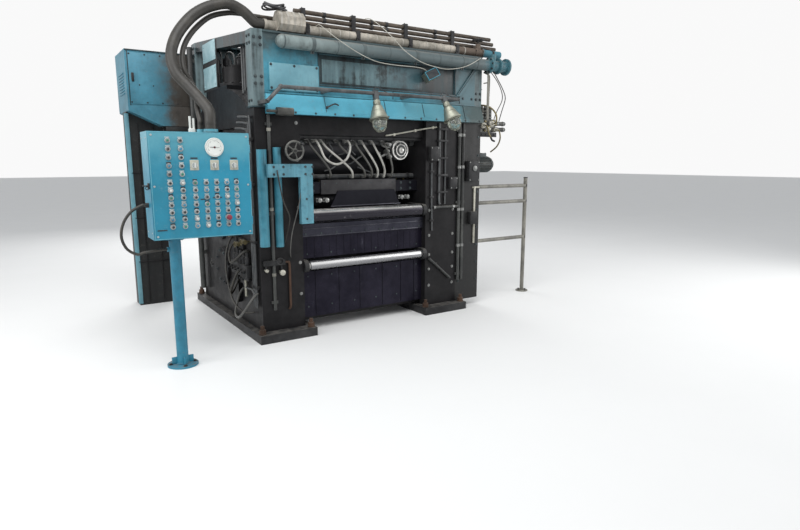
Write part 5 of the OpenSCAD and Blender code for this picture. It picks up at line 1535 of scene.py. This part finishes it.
# The drive side
class MILL_OT_drive_side(Fitting, bpy.types.Operator):
    """Valves, motor, pipes and guard on the drive side"""

    bl_idname = "mill.drive_side"
    bl_label = "Drive side"
    parts = ("shelf", "valve_group", "motor", "post_pipes", "boxes", "guard")

    def shelf(self):
        bm = start()
        bolts(bm, SHELF_X - 0.03, spaced(-0.9, 0.9, 9), SHOULDER_Z + SEAT, Z, self.large * 0.6)
        bolts(bm, (1.17, 1.43), ON_FACE, spaced(0.3, 1.9, 9), FRONT, self.large * 0.5)
        settle("shelf_bolts", bm, "dirty_bolt")
        bm = start()
        for y in spaced(-0.6, 0.7, 4):
            plate(bm, (SHELF_X - 0.001, y, 1.99), (SHELF_X + 0.004, y + 0.03, 2.09), 0.0015)
        plate(bm, (1.132, -0.7, 2.1003), (1.18, 0.7, 2.104), 0.001)
        settle("shelf_edges", bm, "greasy_casting")

    def valve_group(self):
        bm = start()
        for x in (1.54, 1.6, 1.66):
            pin(bm, (x, -0.865, 2.228), Z, 0.018, 0.019, 6)
            pin(bm, (x, -0.865, 2.12), Z, 0.012, 0.028, 24)
            pin(bm, (x, -0.865, 2.16), Z, 0.008, 0.0262, 24)
        for z in (1.995, 2.06):
            for x in (1.73, 1.77, 1.86):
                pin(bm, (x, -0.865, z), X, 0.012, 0.0265, 24)
            pin(bm, (1.889, -0.865, z), X, 0.013, 0.018, 6)
        settle("solenoid_collars", bm, "bright_pipe_end")
        bm = start()
        for x, z, r in ((1.5, 2.03, 0.034), (1.565, 1.99, 0.03), (1.625, 2.05, 0.036),
                (1.68, 1.985, 0.026)):
            turned(bm, (x, -0.9297, z), FRONT, [(0, -0.004), (r, -0.004), (r, 0.026),
                (r * 0.8, 0.034), (r * 0.45, 0.036), (r * 0.45, 0.06), (0, 0.062)], 28)
        settle("valve_caps", bm, "pale_metal")
        bm = start()
        for x, z in ((1.535, 2.075), (1.595, 2.02), (1.655, 2.085), (1.53, 1.975), (1.69, 2.045)):
            pin(bm, (x, -0.952, z), Y, 0.0223, 0.011, 6)
        run(bm, [(1.5, -0.99, 2.03), (1.5, -1.015, 2.01), (1.52, -1.02, 1.94), (1.56, -1.01, 1.9),
            (1.6, -0.98, 1.88)], 0.009)
        run(bm, [(1.625, -0.99, 2.05), (1.63, -1.02, 2.07), (1.61, -1.03, 2.15),
            (1.56, -1.01, 2.21), (1.52, -0.96, 2.24), (1.495, -0.9, 2.25)], 0.009)
        run(bm, [(1.68, -0.988, 1.985), (1.69, -1.01, 1.96), (1.7, -1.01, 1.88), (1.69, -0.97, 1.8),
            (1.66, -0.9, 1.74)], 0.008)
        settle("valve_pipes", bm, "brass")
        bm = start()
        run(bm, [(1.56, -1.01, 1.9), (1.59, -1.0, 1.87), (1.66, -0.96, 1.86)], 0.011)
        plate(bm, (1.465, -0.945, 1.905), (1.705, -0.9297, 1.955), 0.003)
        bolts(bm, (1.485, 1.545, 1.605, 1.665), -0.945, 1.93, FRONT, self.size * 0.8)
        hoop(bm, (1.49, -0.865, 2.42), Z, 0.034, 0.006, 28, 8)
        pin(bm, (1.49, -0.865, 2.3), Z, 0.02, 0.026, 24)
        pin(bm, (1.49, -0.865, 2.588), Z, 0.024, 0.024, 6)
        settle("manifold_fittings", bm, "dark_steel")

    def motor(self):
        y, z = -0.72, 1.6
        bm = start()
        for k in range(30):
            a = FULL * k / 30
            place = Matrix.Translation((1.56, y, z)) @ Matrix.Rotation(a, 4, "X")
            plate(bm, (-0.03, 0.078, -0.002), (0.21, 0.094, 0.002), 0, place)
        settle("motor_fins", bm, "grey_blue_paint")
        bm = start()
        for x in (1.528, 1.772):
            pin(bm, (x, y, z), X, 0.014, 0.086, 48)
        plate(bm, (1.6, y - 0.05, z + 0.078), (1.72, y + 0.05, z + 0.13), 0.006)
        bolts(bm, (1.612, 1.708), (y - 0.04, y + 0.04), z + 0.13, Z, self.size * 0.5)
        pin(bm, (1.6, y, z + 0.104), -X, 0.02, 0.014, 6)
        settle("motor_box", bm, "grey_blue_paint")
        bm = start()
        for k in range(4):
            hoop(bm, (1.8302, y, z), X, 0.014 + 0.012 * k, 0.002, 32, 6)
        ring_of_bolts(bm, (1.7863, y, z), X, 0.068, 6, self.size * 0.5)
        settle("motor_grille", bm, "dark_steel")

    def post_pipes(self):
        bm = start()
        for x in (1.15, 1.2):
            for z in (0.7, 1.1, 1.56, 1.9):
                pin(bm, (x, FACE_Y - 0.0173, z), Z, 0.03, 0.0215, 20)
        pin(bm, (0.8, FACE_Y - 0.0173, 1.15), X, 0.026, 0.0185, 20)
        pin(bm, (1.06, FACE_Y - 0.0173, 1.15), X, 0.026, 0.0185, 20)
        settle("post_pipe_couplings", bm, "bright_pipe_end")
        bm = start()
        run(bm, [*riser(1.5, -1.01, 2.09, 2.3, 2.56), (1.495, -1.0, 2.6)], 0.011, 3, 3)
        run(bm, [(1.535, -0.985, 2.1), (1.535, -0.985, 2.3), (1.54, -0.985, 2.52),
            (1.538, -0.965, 2.57), (1.53, -0.905, 2.6)], 0.009, 3, 3)
        for z in (2.18, 2.48):
            pin(bm, (1.5, -1.01, z), Y, 0.07, 0.006, 10)
        settle("pale_riser_pipes", bm, "pale_pipe")
        bm = start()
        x = 0.88
        run(bm, [*riser(x, FACE_Y - 0.014, 2.035, 1.7, 1.25), (x + 0.01, FACE_Y - 0.016, 1.18)],
            0.012, 3, 3)
        run(bm, riser(0.96, FACE_Y - 0.012, 1.99, 1.6, 1.18), 0.009, 3, 3)
        run(bm, [(0.78, FACE_Y - 0.012, 1.62), (0.78, FACE_Y - 0.012, 1.3),
            (0.79, FACE_Y - 0.012, 0.9)], 0.01, 3, 3)
        settle("housing_face_pipes", bm, "bright_pipe")
        bm = start()
        for z in (1.3, 1.48, 1.66, 1.84, 1.96):
            plate(bm, (0.855, FACE_Y - 0.03, z), (0.985, ON_FACE, z + 0.02), 0.002)
        for z in (1.0, 1.25, 1.52):
            plate(bm, (0.755, FACE_Y - 0.026, z), (0.805, ON_FACE, z + 0.02), 0.002)
        settle("face_pipe_clips", bm, "dark_steel")

    def boxes(self):
        bm = start()
        boxes = ((0.74, 0.85, 1.64, 1.79, 0.055), (1.01, 1.11, 1.34, 1.47, 0.045),
            (1.25, 1.4, 1.42, 1.64, 0.07))
        for x0, x1, z0, z1, deep in boxes:
            plate(bm, (x0, FACE_Y - deep, z0), (x1, ON_FACE, z1), 0.006)
        plate(bm, (1.3, FACE_Y - 0.05, 0.94), (1.4, ON_FACE, 1.08), 0.005)
        settle("face_boxes", bm, "dark_steel")
        bm = start()
        for x0, x1, z0, z1, deep in boxes:
            bolts(bm, (x0 + 0.014, x1 - 0.014), FACE_Y - deep, (z0 + 0.014, z1 - 0.014), FRONT,
                self.size * 0.5)
        turned(bm, (1.325, FACE_Y - 0.069, 1.56), FRONT, [(0, -0.002), (0.03, -0.002),
            (0.03, 0.014), (0.024, 0.018), (0, 0.018)], 32)
        bolts(bm, (0.76, 1.08), ON_FACE, (0.3, 0.48, 0.64, 0.85, 1.12), FRONT, self.size * 1.1)
        bolts(bm, -0.745, ON_FACE, (0.4, 0.7, 1.22, 1.65, 1.98), FRONT, self.size * 1.1)
        settle("face_box_screws", bm, "bright_pipe_end")

    def guard(self):
        y = -0.756
        bm = start()
        for x in (1.54, 2.39):
            for z in (0.7, 1.15, 1.34):
                hoop(bm, (x, y, z), X, 0.026, 0.005, 24, 8)
        pin(bm, (2.39, y, 1.43), Z, 0.012, 0.026, 24)
        pin(bm, (1.54, y, 1.44), Z, 0.012, 0.024, 24)
        ring_of_bolts(bm, (2.39, y, 0.014), Z, 0.056, 4, 0.02, 0.8)
        settle("guard_clamps", bm, "dark_steel")
        bm = start()
        plate(bm, (1.372, FACE_Y - 0.016, 0.72), (1.394, ON_FACE, 1.36), 0.002)
        plate(bm, (1.35, FACE_Y - 0.012, 1.34), (1.458, ON_FACE, 1.358), 0.002)
        settle("pale_guard_strip", bm, "pale_metal")


# The control panel
PANEL = (0.76, 0.28, 0.81)
DIAL = (0.13 * PANEL[0], 0.86 * PANEL[2])
COLUMNS = (-0.32, -0.2, -0.08, 0.03, 0.135, 0.24, 0.34)
SWITCHES = (-0.075, 0.126, 0.326)
RED_KEY = (5, 1)


class MILL_OT_panel(Fitting, bpy.types.Operator):
    """Caps, plates, dial, door and fastenings of the control panel"""

    bl_idname = "mill.panel"
    bl_label = "Control panel"
    parts = ("keys", "plates", "dial", "door", "top", "pedestal")

    def place(self, bm, name, skin, smooth=40):
        bmesh.ops.transform(bm, matrix=panel_matrix(), verts=bm.verts[:])
        return settle(name, bm, skin, smooth=smooth)

    def spots(self):
        """Place and kind of every key: column, row, x and z"""
        w, _, h = PANEL
        for c, u in enumerate(COLUMNS):
            for r in range(7):
                yield c, r, u * w, 0.12 * h + 0.068 * h * r
            if c < 2:
                for r in range(5):
                    yield c, 7 + r, u * w, 0.61 * h + 0.077 * h * r

    def keys(self):
        groups = {"cap_black": start(), "cap_white": start(), "cap_green": start(),
            "cap_red": start(), "panel_key_blue": start()}
        bezel = start()
        for c, r, x, z in self.spots():
            if (c, r) == RED_KEY:
                turned(groups["cap_red"], (x, -0.0175, z), FRONT, [(0, -0.004), (0.012, -0.004),
                    (0.012, 0.006), (0.021, 0.01), (0.021, 0.018), (0.015, 0.022), (0, 0.023)], 32)
                continue
            pick = (c * 5 + r * 3 + c * r) % 7
            skin = ("cap_black", "cap_white", "cap_black", "panel_key_blue", "cap_black",
                "cap_green", "cap_black")[pick]
            turned(groups[skin], (x, -0.0178, z), FRONT, [(0, -0.002), (0.0095, -0.002),
                (0.0095, 0.004), (0.007, 0.006), (0, 0.0062)], 24)
            hoop(bezel, (x, -0.0055, z), Y, 0.0165, 0.0034, 28, 8)
        for skin, bm in groups.items():
            self.place(bm, "caps_" + skin.split("_")[-1], skin)
        self.place(bezel, "key_bezels", "button_plastic")

    def plates(self):
        """Bare plates over the keys and the switches"""
        pale, dark, cream = start(), start(), start()
        for c, r, x, z in self.spots():
            shade = pale if (c * 3 + r * 5) % 4 else dark
            plate(shade, (x - 0.017, -0.0022, z + 0.0175), (x + 0.017, 0.0004, z + 0.028), 0.0006)
        for u in SWITCHES:
            x, z = u * PANEL[0], 0.69 * PANEL[2]
            plate(cream, (x - 0.033, -0.0022, z - 0.036), (x + 0.033, 0.0004, z + 0.042), 0.0006)
            plate(dark, (x - 0.026, -0.0024, z + 0.05), (x + 0.026, 0.0004, z + 0.06), 0.0006)
        for x, z in ((-0.315, 0.075), (0.015, 0.3), (0.11, 0.31)):
            plate(dark, (x - 0.04, -0.003, z - 0.004), (x + 0.03, 0.0004, z + 0.004), 0.0006)
        self.place(cream, "switch_plates", "plate_cream")
        self.place(pale, "bare_plates_pale", "plate_pale")
        self.place(dark, "bare_plates_dark", "cap_black")
        bm = start()
        for u in SWITCHES:
            x, z = u * PANEL[0], 0.69 * PANEL[2]
            hoop(bm, (x, -0.0062, z), Y, 0.02, 0.0026, 36, 8)
            plate(bm, (x - 0.0045, -0.0295, z - 0.018), (x + 0.0045, -0.0255, z + 0.018), 0.0012)
        self.place(bm, "switch_rings", "cap_white")

    def dial(self):
        x, z = DIAL
        bm = start()
        hoop(bm, (x, -0.01, z), Y, 0.068, 0.0045, 56)
        self.place(bm, "dial_rim", "dial_white")
        bm = start()
        for k in range(25):
            a = math.radians(210 - 10 * k)
            near, far = (0.044, 0.053) if k % 4 == 0 else (0.049, 0.053)
            c, s = math.cos(a), math.sin(a)
            rod(bm, (x + near * c, -0.0163, z + near * s), (x + far * c, -0.0163, z + far * s),
                0.0011, 6)
        rod(bm, (x - 0.036, -0.0175, z + 0.001), (x + 0.038, -0.0175, z - 0.001), 0.0018, 8, 0.0008)
        pin(bm, (x, -0.016, z), FRONT, 0.0045, 0.0075, 24)
        self.place(bm, "dial_needle_and_ticks", "cap_black")
        bm = start()
        pin(bm, (x, -0.02, z), FRONT, 0.0022, 0.0035, 16)
        self.place(bm, "dial_screw", "cap_red")

    def door(self):
        w, d, h = PANEL
        bm = start()
        for z in (0.12, 0.4, 0.69):
            pin(bm, (w / 2 - 0.004, 0.004, z - 0.03), Z, 0.06, 0.007, 16)
            pin(bm, (w / 2 - 0.004, 0.004, z - 0.034), Z, 0.003, 0.0085, 16)
        self.place(bm, "panel_hinges", "panel_blue")
        bm = start()
        bolts(bm, (-w / 2 + 0.026, w / 2 - 0.026), -SEAT, (0.028, 0.405, h - 0.028), FRONT,
            self.size * 0.55)
        for y, z in ((0.06, 0.05), (0.23, 0.05), (0.06, 0.76), (0.23, 0.76)):
            bolt(bm, (-w / 2 - SEAT, y, z), -X, self.size * 0.5)
            bolt(bm, (w / 2 + SEAT, y, z), X, self.size * 0.5)
        self.place(bm, "panel_screws", "button_plastic")
        bm = start()
        plate(bm, (-w / 2 - 0.014, 0.03, 0.385), (-w / 2 - SEAT, 0.062, 0.43), 0.003)
        pin(bm, (-w / 2 - 0.05, 0.046, 0.41), X, 0.038, 0.005, 12)
        hoop(bm, (-w / 2 - 0.018, 0.046, 0.392), Y, 0.011, 0.003, 24, 8)
        pin(bm, (-w / 2 - 0.022, 0.14, 0.26), X, 0.023, 0.019, 6)
        self.place(bm, "panel_latch", "dark_steel")
        bm = start()
        border(bm, (0.004 - w / 2, w / 2 - 0.004), (-0.0012, 0.0004), (0.004, h - 0.004), 0.006,
            0.0006)
        self.place(bm, "door_edge", "panel_edge")
        bm = start()
        for z in (0.15, 0.17, 0.19, 0.21, 0.23):
            for x0, x1 in ((-0.2, -0.02), (0.02, 0.2)):
                plate(bm, (x0, d - 0.001, z), (x1, d + 0.004, z + 0.008), 0.001)
        self.place(bm, "panel_rear_vents", "panel_blue")

    def top(self):
        h = PANEL[2]
        bm = start()
        turned(bm, (-0.04, 0.08, h - 0.001), Z, [(0, 0), (0.026, 0), (0.026, 0.024), (0.02, 0.03),
            (0, 0.03)], 32)
        pin(bm, (-0.052, 0.08, h + 0.02), Z, 0.1, 0.0085, 20)
        pin(bm, (-0.026, 0.08, h + 0.02), Z, 0.085, 0.0085, 20)
        self.place(bm, "white_hub", "cap_white")
        bm = start()
        ring_of_bolts(bm, (BIG_GLAND[0], BIG_GLAND[1], h + 0.029), Z, 0.0495, 6, self.size * 0.35)
        hoop(bm, (BIG_GLAND[0], BIG_GLAND[1], h + 0.004), Z, 0.0565, 0.005, 44, 8)
        hoop(bm, (SMALL_GLAND[0], SMALL_GLAND[1], h + 0.004), Z, 0.0315, 0.004, 36, 8)
        self.place(bm, "panel_top_fittings", "dark_steel")

    def pedestal(self):
        x, y = 0.17 - PANEL[0] / 2, PANEL[1] / 2
        bm = start()
        bolts(bm, (x - 0.0465, x + 0.0465), (y - 0.0465, y + 0.0465), -0.0143, -Z, self.size * 0.55)
        ring_of_bolts(bm, (x, y, -1.034), Z, 0.095, 4, self.size * 1.2, 0.78)
        self.place(bm, "pedestal_bolts", "dark_steel")
        bm = start()
        for k in range(4):
            a = math.radians(90 * k)
            place = Matrix.Translation((x, y, -1.034)) @ Matrix.Rotation(a, 4, "Z")
            plate(bm, (0.043, -0.004, -0.001), (0.085, 0.004, 0.06), 0.0015, place)
        hoop(bm, (x, y, -1.028), Z, 0.047, 0.004, 40, 8)
        hoop(bm, (x, y, -0.016), Z, 0.0465, 0.003, 40, 8)
        self.place(bm, "pedestal_ribs", "pedestal_blue")


class MILL_OT_cabinet(Fitting, bpy.types.Operator):
    """Doors, hinges and edges of the rear cabinet and its column"""

    bl_idname = "mill.cabinet"
    bl_label = "Rear cabinet"
    parts = ("box", "column")

    def box(self):
        front, back = 0.95, 1.55
        bm = start()
        plate(bm, (-1.79, front - 0.008, 2.24), (-1.15, front + 0.0004, 2.77), 0.003)
        settle("cabinet_door", bm, "cabinet_blue")
        bm = start()
        for x in (-1.795, -1.145):
            plate(bm, (x - 0.005, front - 0.004, 2.225), (x + 0.005, front + 0.001, 2.785), 0.001)
        plate(bm, (-1.818, front - 0.01, 2.786), (-1.082, front + 0.001, 2.799), 0.002)
        for x in (-1.7, -1.56):
            plate(bm, (x, front - 0.012, 2.43), (x + 0.01, front - 0.007, 2.445), 0.001)
        settle("cabinet_edges", bm, "dirty_blue")
        bm = start()
        for z in (2.33, 2.68):
            pin(bm, (-1.152, front - 0.012, z - 0.035), Z, 0.07, 0.009, 16)
        plate(bm, (-1.77, front - 0.02, 2.47), (-1.745, front - 0.0075, 2.56), 0.004)
        bolts(bm, spaced(-1.78, -1.16, 5), front - 0.0083, (2.258, 2.752), FRONT, self.size * 0.6)
        settle("cabinet_hinges", bm, "dark_steel")
        bm = start()
        for i in range(8):
            z = 2.35 + 0.03 * i
            plate(bm, (-1.828, 1.1, z), (-1.8197, 1.4, z + 0.012), 0.001)
            plate(bm, (-1.65, back - SEAT, z), (-1.3, back + 0.008, z + 0.012), 0.001)
        settle("cabinet_louvres", bm, "cabinet_blue")
        bm = start()
        for y in (0.958, 1.106):
            plate(bm, (-1.452, y, 1.925), (-1.105, y + 0.004, 2.0205), 0.001)
        plate(bm, (-1.452, 0.958, 1.925), (-1.105, 1.11, 1.93), 0.001)
        # The tray wears the same near black as the column, which is painted shade
        settle("cabinet_cable_tray", bm, "column_dark")
        bm = start()
        for y in (0.985, 1.02, 1.055, 1.085):
            pin(bm, (-1.454, y, 1.9435), X, 0.369, 0.014, 20)
        settle("tray_cables", bm, "cap_black")

    def column(self):
        bm = start()
        plate(bm, (-1.842, 1.112, 0.02), (-1.8245, 1.122, 2.15), 0.002)
        plate(bm, (-1.846, 1.108, 0.02), (-1.8, 1.1197, 2.15), 0.002)
        settle("column_edge_strip", bm, "pale_blue")
        bm = start()
        for x in (-1.72, -1.56):
            plate(bm, (x - 0.004, 1.105, 0.03), (x + 0.004, 1.1203, 2.04), 0.001)
        for z in (0.5, 1.0, 1.5):
            plate(bm, (-1.815, 1.108, z), (-1.46, 1.1203, z + 0.012), 0.001)
            bolts(bm, (-1.68, -1.6, -1.5), 1.1197, z + 0.12, FRONT, self.size)
        settle("column_ribs", bm, "greasy_casting")


class MILL_OT_rear(Fitting, bpy.types.Operator):
    """Pipes, clips, screws and boxes on the rear faces"""

    bl_idname = "mill.rear"
    bl_label = "Rear"
    parts = ("pipes", "screws", "covers")

    def pipes(self):
        bm = start()
        for x, foot, top, radius in (
            (-0.8, 0.3, 1.9, 0.014), (-0.762, 0.45, 1.84, 0.01), (0.79, 0.26, 1.95, 0.014),
            (0.832, 0.26, 1.88, 0.01), (1.06, 0.6, 1.7, 0.012),
        ):
            y = REAR_Y + 0.004 + radius
            run(bm, [*riser(x, y, foot, foot + 0.3, top - 0.3, top - 0.04), (x + 0.02, y, top),
                (x + 0.08, y, top + 0.03)], radius, 3, 3)
        settle("rear_pipes", bm, "bright_pipe")
        bm = start()
        for x0, x1 in ((-0.826, -0.742), (0.764, 0.852), (1.036, 1.084)):
            for z in (0.64, 1.05, 1.48):
                plate(bm, (x0, ON_REAR, z), (x1, REAR_Y + 0.036, z + 0.022), 0.002)
                bolts(bm, (x0 + 0.008, x1 - 0.008), REAR_Y + 0.036, z + 0.011, Y, self.size * 0.45)
        settle("rear_pipe_clips", bm, "dark_steel")

    def screws(self):
        bm = start()
        bolts(bm, (-1.09, -0.74, 0.745, 1.095), ON_REAR, spaced(0.24, 1.98, 8), Y, self.size)
        bolts(bm, (-1.79, -1.49), 1.3403, spaced(0.12, 1.9, 7), Y, self.size * 0.8)
        bolts(bm, (-1.77, -1.13), 1.5503, spaced(2.2, 2.76, 4), Y, self.size * 0.6)
        bolts(bm, spaced(-1.1, 1.4, 9), REAR_Y + 0.0163, 2.233, Y, self.size * 0.7)
        settle("rear_screws", bm, "dirty_bolt")

    def covers(self):
        bm = start()
        for x0, x1, z0, z1 in ((-1.06, -0.88, 0.86, 1.14), (0.89, 1.01, 1.24, 1.42)):
            plate(bm, (x0, ON_REAR, z0), (x1, REAR_Y + 0.05, z1), 0.006)
            plate(bm, (x0 + 0.012, REAR_Y + 0.049, z0 + 0.012),
                (x1 - 0.012, REAR_Y + 0.056, z1 - 0.012), 0.002)
            bolts(bm, (x0 + 0.024, x1 - 0.024), REAR_Y + 0.056, (z0 + 0.024, z1 - 0.024), Y,
                self.size * 0.5)
            pin(bm, ((x0 + x1) / 2, REAR_Y + 0.025, z0 - 0.03), Z, 0.034, 0.014, 6)
        for z in (0.5, 1.0, 1.5):
            plate(bm, (-1.815, 1.3397, z), (-1.465, 1.35, z + 0.012), 0.001)
        plate(bm, (-1.76, 1.3397, 0.08), (-1.52, 1.348, 0.42), 0.003)
        settle("rear_boxes", bm, "shelf_grey")
        bm = start()
        plate(bm, (-1.74, 1.5497, 2.25), (-1.16, 1.558, 2.32), 0.003)
        plate(bm, (-1.74, 1.5497, 2.64), (-1.16, 1.558, 2.76), 0.003)
        settle("cabinet_rear_plates", bm, "cabinet_blue")


# Thin leads
class MILL_OT_leads(bpy.types.Operator):
    """Thin leads that sag along the beam, from the lamps and down the sides"""

    bl_idname = "mill.leads"
    bl_label = "Thin leads"

    def execute(self, context):
        for i, (route, radius, skin) in enumerate(LEADS):
            lay_hose(f"lead_{i + 1}", route, radius, skin)
        return {"FINISHED"}


LEADS = (
    ([(-0.5, -0.9, 2.843), (-0.49, -0.945, 2.85), (-0.47, -1.0, 2.815), (-0.41, -1.085, 2.735),
      (-0.2, -1.092, 2.63), (0.01, -1.092, 2.562), (0.23, -1.088, 2.546), (0.47, -1.066, 2.552),
      (0.6, -1.036, 2.55), (0.66, -1.02, 2.535)], 0.0035, "pale_wire"),
    ([(0.06, -0.826, 2.992), (0.1, -0.87, 2.985), (0.16, -0.95, 2.915), (0.24, -1.04, 2.805),
      (0.35, -1.092, 2.685), (0.53, -1.096, 2.602), (0.71, -1.098, 2.568), (0.88, -1.096, 2.56),
      (1.1, -1.092, 2.602), (1.27, -1.084, 2.68), (1.35, -1.05, 2.716)], 0.0035, "pale_wire"),
    ([(-0.01, -1.092, 2.268), (-0.01, -1.075, 2.29), (0.04, -1.06, 2.33), (0.12, -1.04, 2.31),
      (0.18, -1.06, 2.285), (0.22, -1.108, 2.278)], 0.004, "cap_black"),
    ([(0.8, -1.092, 2.268), (0.8, -1.07, 2.29), (0.86, -1.05, 2.33), (0.95, -1.045, 2.3),
      (0.985, -1.08, 2.29), (0.99, -1.108, 2.282)], 0.004, "cap_black"),
    ([(-0.99, -1.071, 1.56), (-0.992, -1.09, 1.52), (-0.96, -1.11, 1.3), (-0.9, -1.095, 1.16),
      (-0.88, -1.03, 1.06), (-0.885, -0.975, 0.96), (-0.89, -0.953, 0.9)], 0.006, "black_rubber"),
    ([(-0.74, -1.045, 1.5), (-0.745, -1.05, 1.46), (-0.79, -1.06, 1.25), (-0.85, -1.03, 1.0),
      (-0.86, -1.0, 0.84), (-0.85, -0.975, 0.78), (-0.84, -0.953, 0.76)], 0.005, "stained_hose"),
    ([(1.48, -0.93, 2.64), (1.49, -0.99, 2.64), (1.56, -1.08, 2.5), (1.66, -1.06, 2.38),
      (1.73, -0.99, 2.3), (1.72, -0.93, 2.2), (1.7, -0.9, 2.105)], 0.005, "stained_hose"),
    ([(1.5, -0.94, 2.7), (1.52, -0.99, 2.69), (1.6, -1.05, 2.52), (1.7, -1.03, 2.42),
      (1.79, -0.98, 2.33), (1.8, -0.92, 2.2), (1.795, -0.88, 2.085)], 0.005, "black_rubber"),
    ([(-1.142, -0.7, 0.8), (-1.19, -0.7, 0.81), (-1.25, -0.64, 0.74), (-1.27, -0.52, 0.69),
      (-1.245, -0.4, 0.76), (-1.195, -0.35, 0.83), (-1.142, -0.35, 0.84)], 0.011, "black_rubber"),
    ([(-1.2, -0.61, 0.62), (-1.24, -0.61, 0.6), (-1.28, -0.56, 0.47), (-1.27, -0.48, 0.38),
      (-1.22, -0.42, 0.4), (-1.17, -0.4, 0.48), (-1.142, -0.4, 0.5)], 0.012, "black_rubber"),
    ([(-1.142, -0.88, 0.44), (-1.19, -0.88, 0.4), (-1.27, -0.82, 0.26), (-1.28, -0.7, 0.19),
      (-1.26, -0.56, 0.21), (-1.2, -0.5, 0.35), (-1.142, -0.48, 0.42)], 0.012, "stained_hose"),
    ([(-1.142, -0.3, 0.9), (-1.19, -0.31, 0.89), (-1.26, -0.36, 0.76), (-1.29, -0.44, 0.56),
      (-1.28, -0.56, 0.33), (-1.22, -0.68, 0.23), (-1.142, -0.76, 0.23)], 0.009, "black_rubber"),
)


class MILL_PT_sidebar(bpy.types.Panel):
    """The mill stand's operators and settings"""

    bl_idname = "MILL_PT_sidebar"
    bl_label = "Strip mill stand"
    bl_space_type = "VIEW_3D"
    bl_region_type = "UI"
    bl_category = "Mill"

    def draw(self, context):
        for step in STEPS:
            self.layout.operator(step.bl_idname)
        for group in (context.scene.mill_colours, context.scene.mill_sizes):
            for name in group.__annotations__:
                self.layout.prop(group, name)


STEPS = (
    MILL_OT_finishes,
    MILL_OT_stage,
    MILL_OT_hoses,
    MILL_OT_leads,
    MILL_OT_beam,
    MILL_OT_duct,
    MILL_OT_lamps,
    MILL_OT_window,
    MILL_OT_left_side,
    MILL_OT_drive_side,
    MILL_OT_panel,
    MILL_OT_cabinet,
    MILL_OT_rear,
)
CLASSES = (MillColours, MillSizes, *STEPS, MILL_PT_sidebar)


def register():
    for one in CLASSES:
        bpy.utils.register_class(one)
    bpy.types.Scene.mill_colours = PointerProperty(type=MillColours)
    bpy.types.Scene.mill_sizes = PointerProperty(type=MillSizes)


def unregister():
    del bpy.types.Scene.mill_sizes
    del bpy.types.Scene.mill_colours
    for one in reversed(CLASSES):
        bpy.utils.unregister_class(one)


def main():
    register()
    for step in STEPS:
        group, name = step.bl_idname.split(".")
        getattr(getattr(bpy.ops, group), name)()


if __name__ == "__main__":
    main()
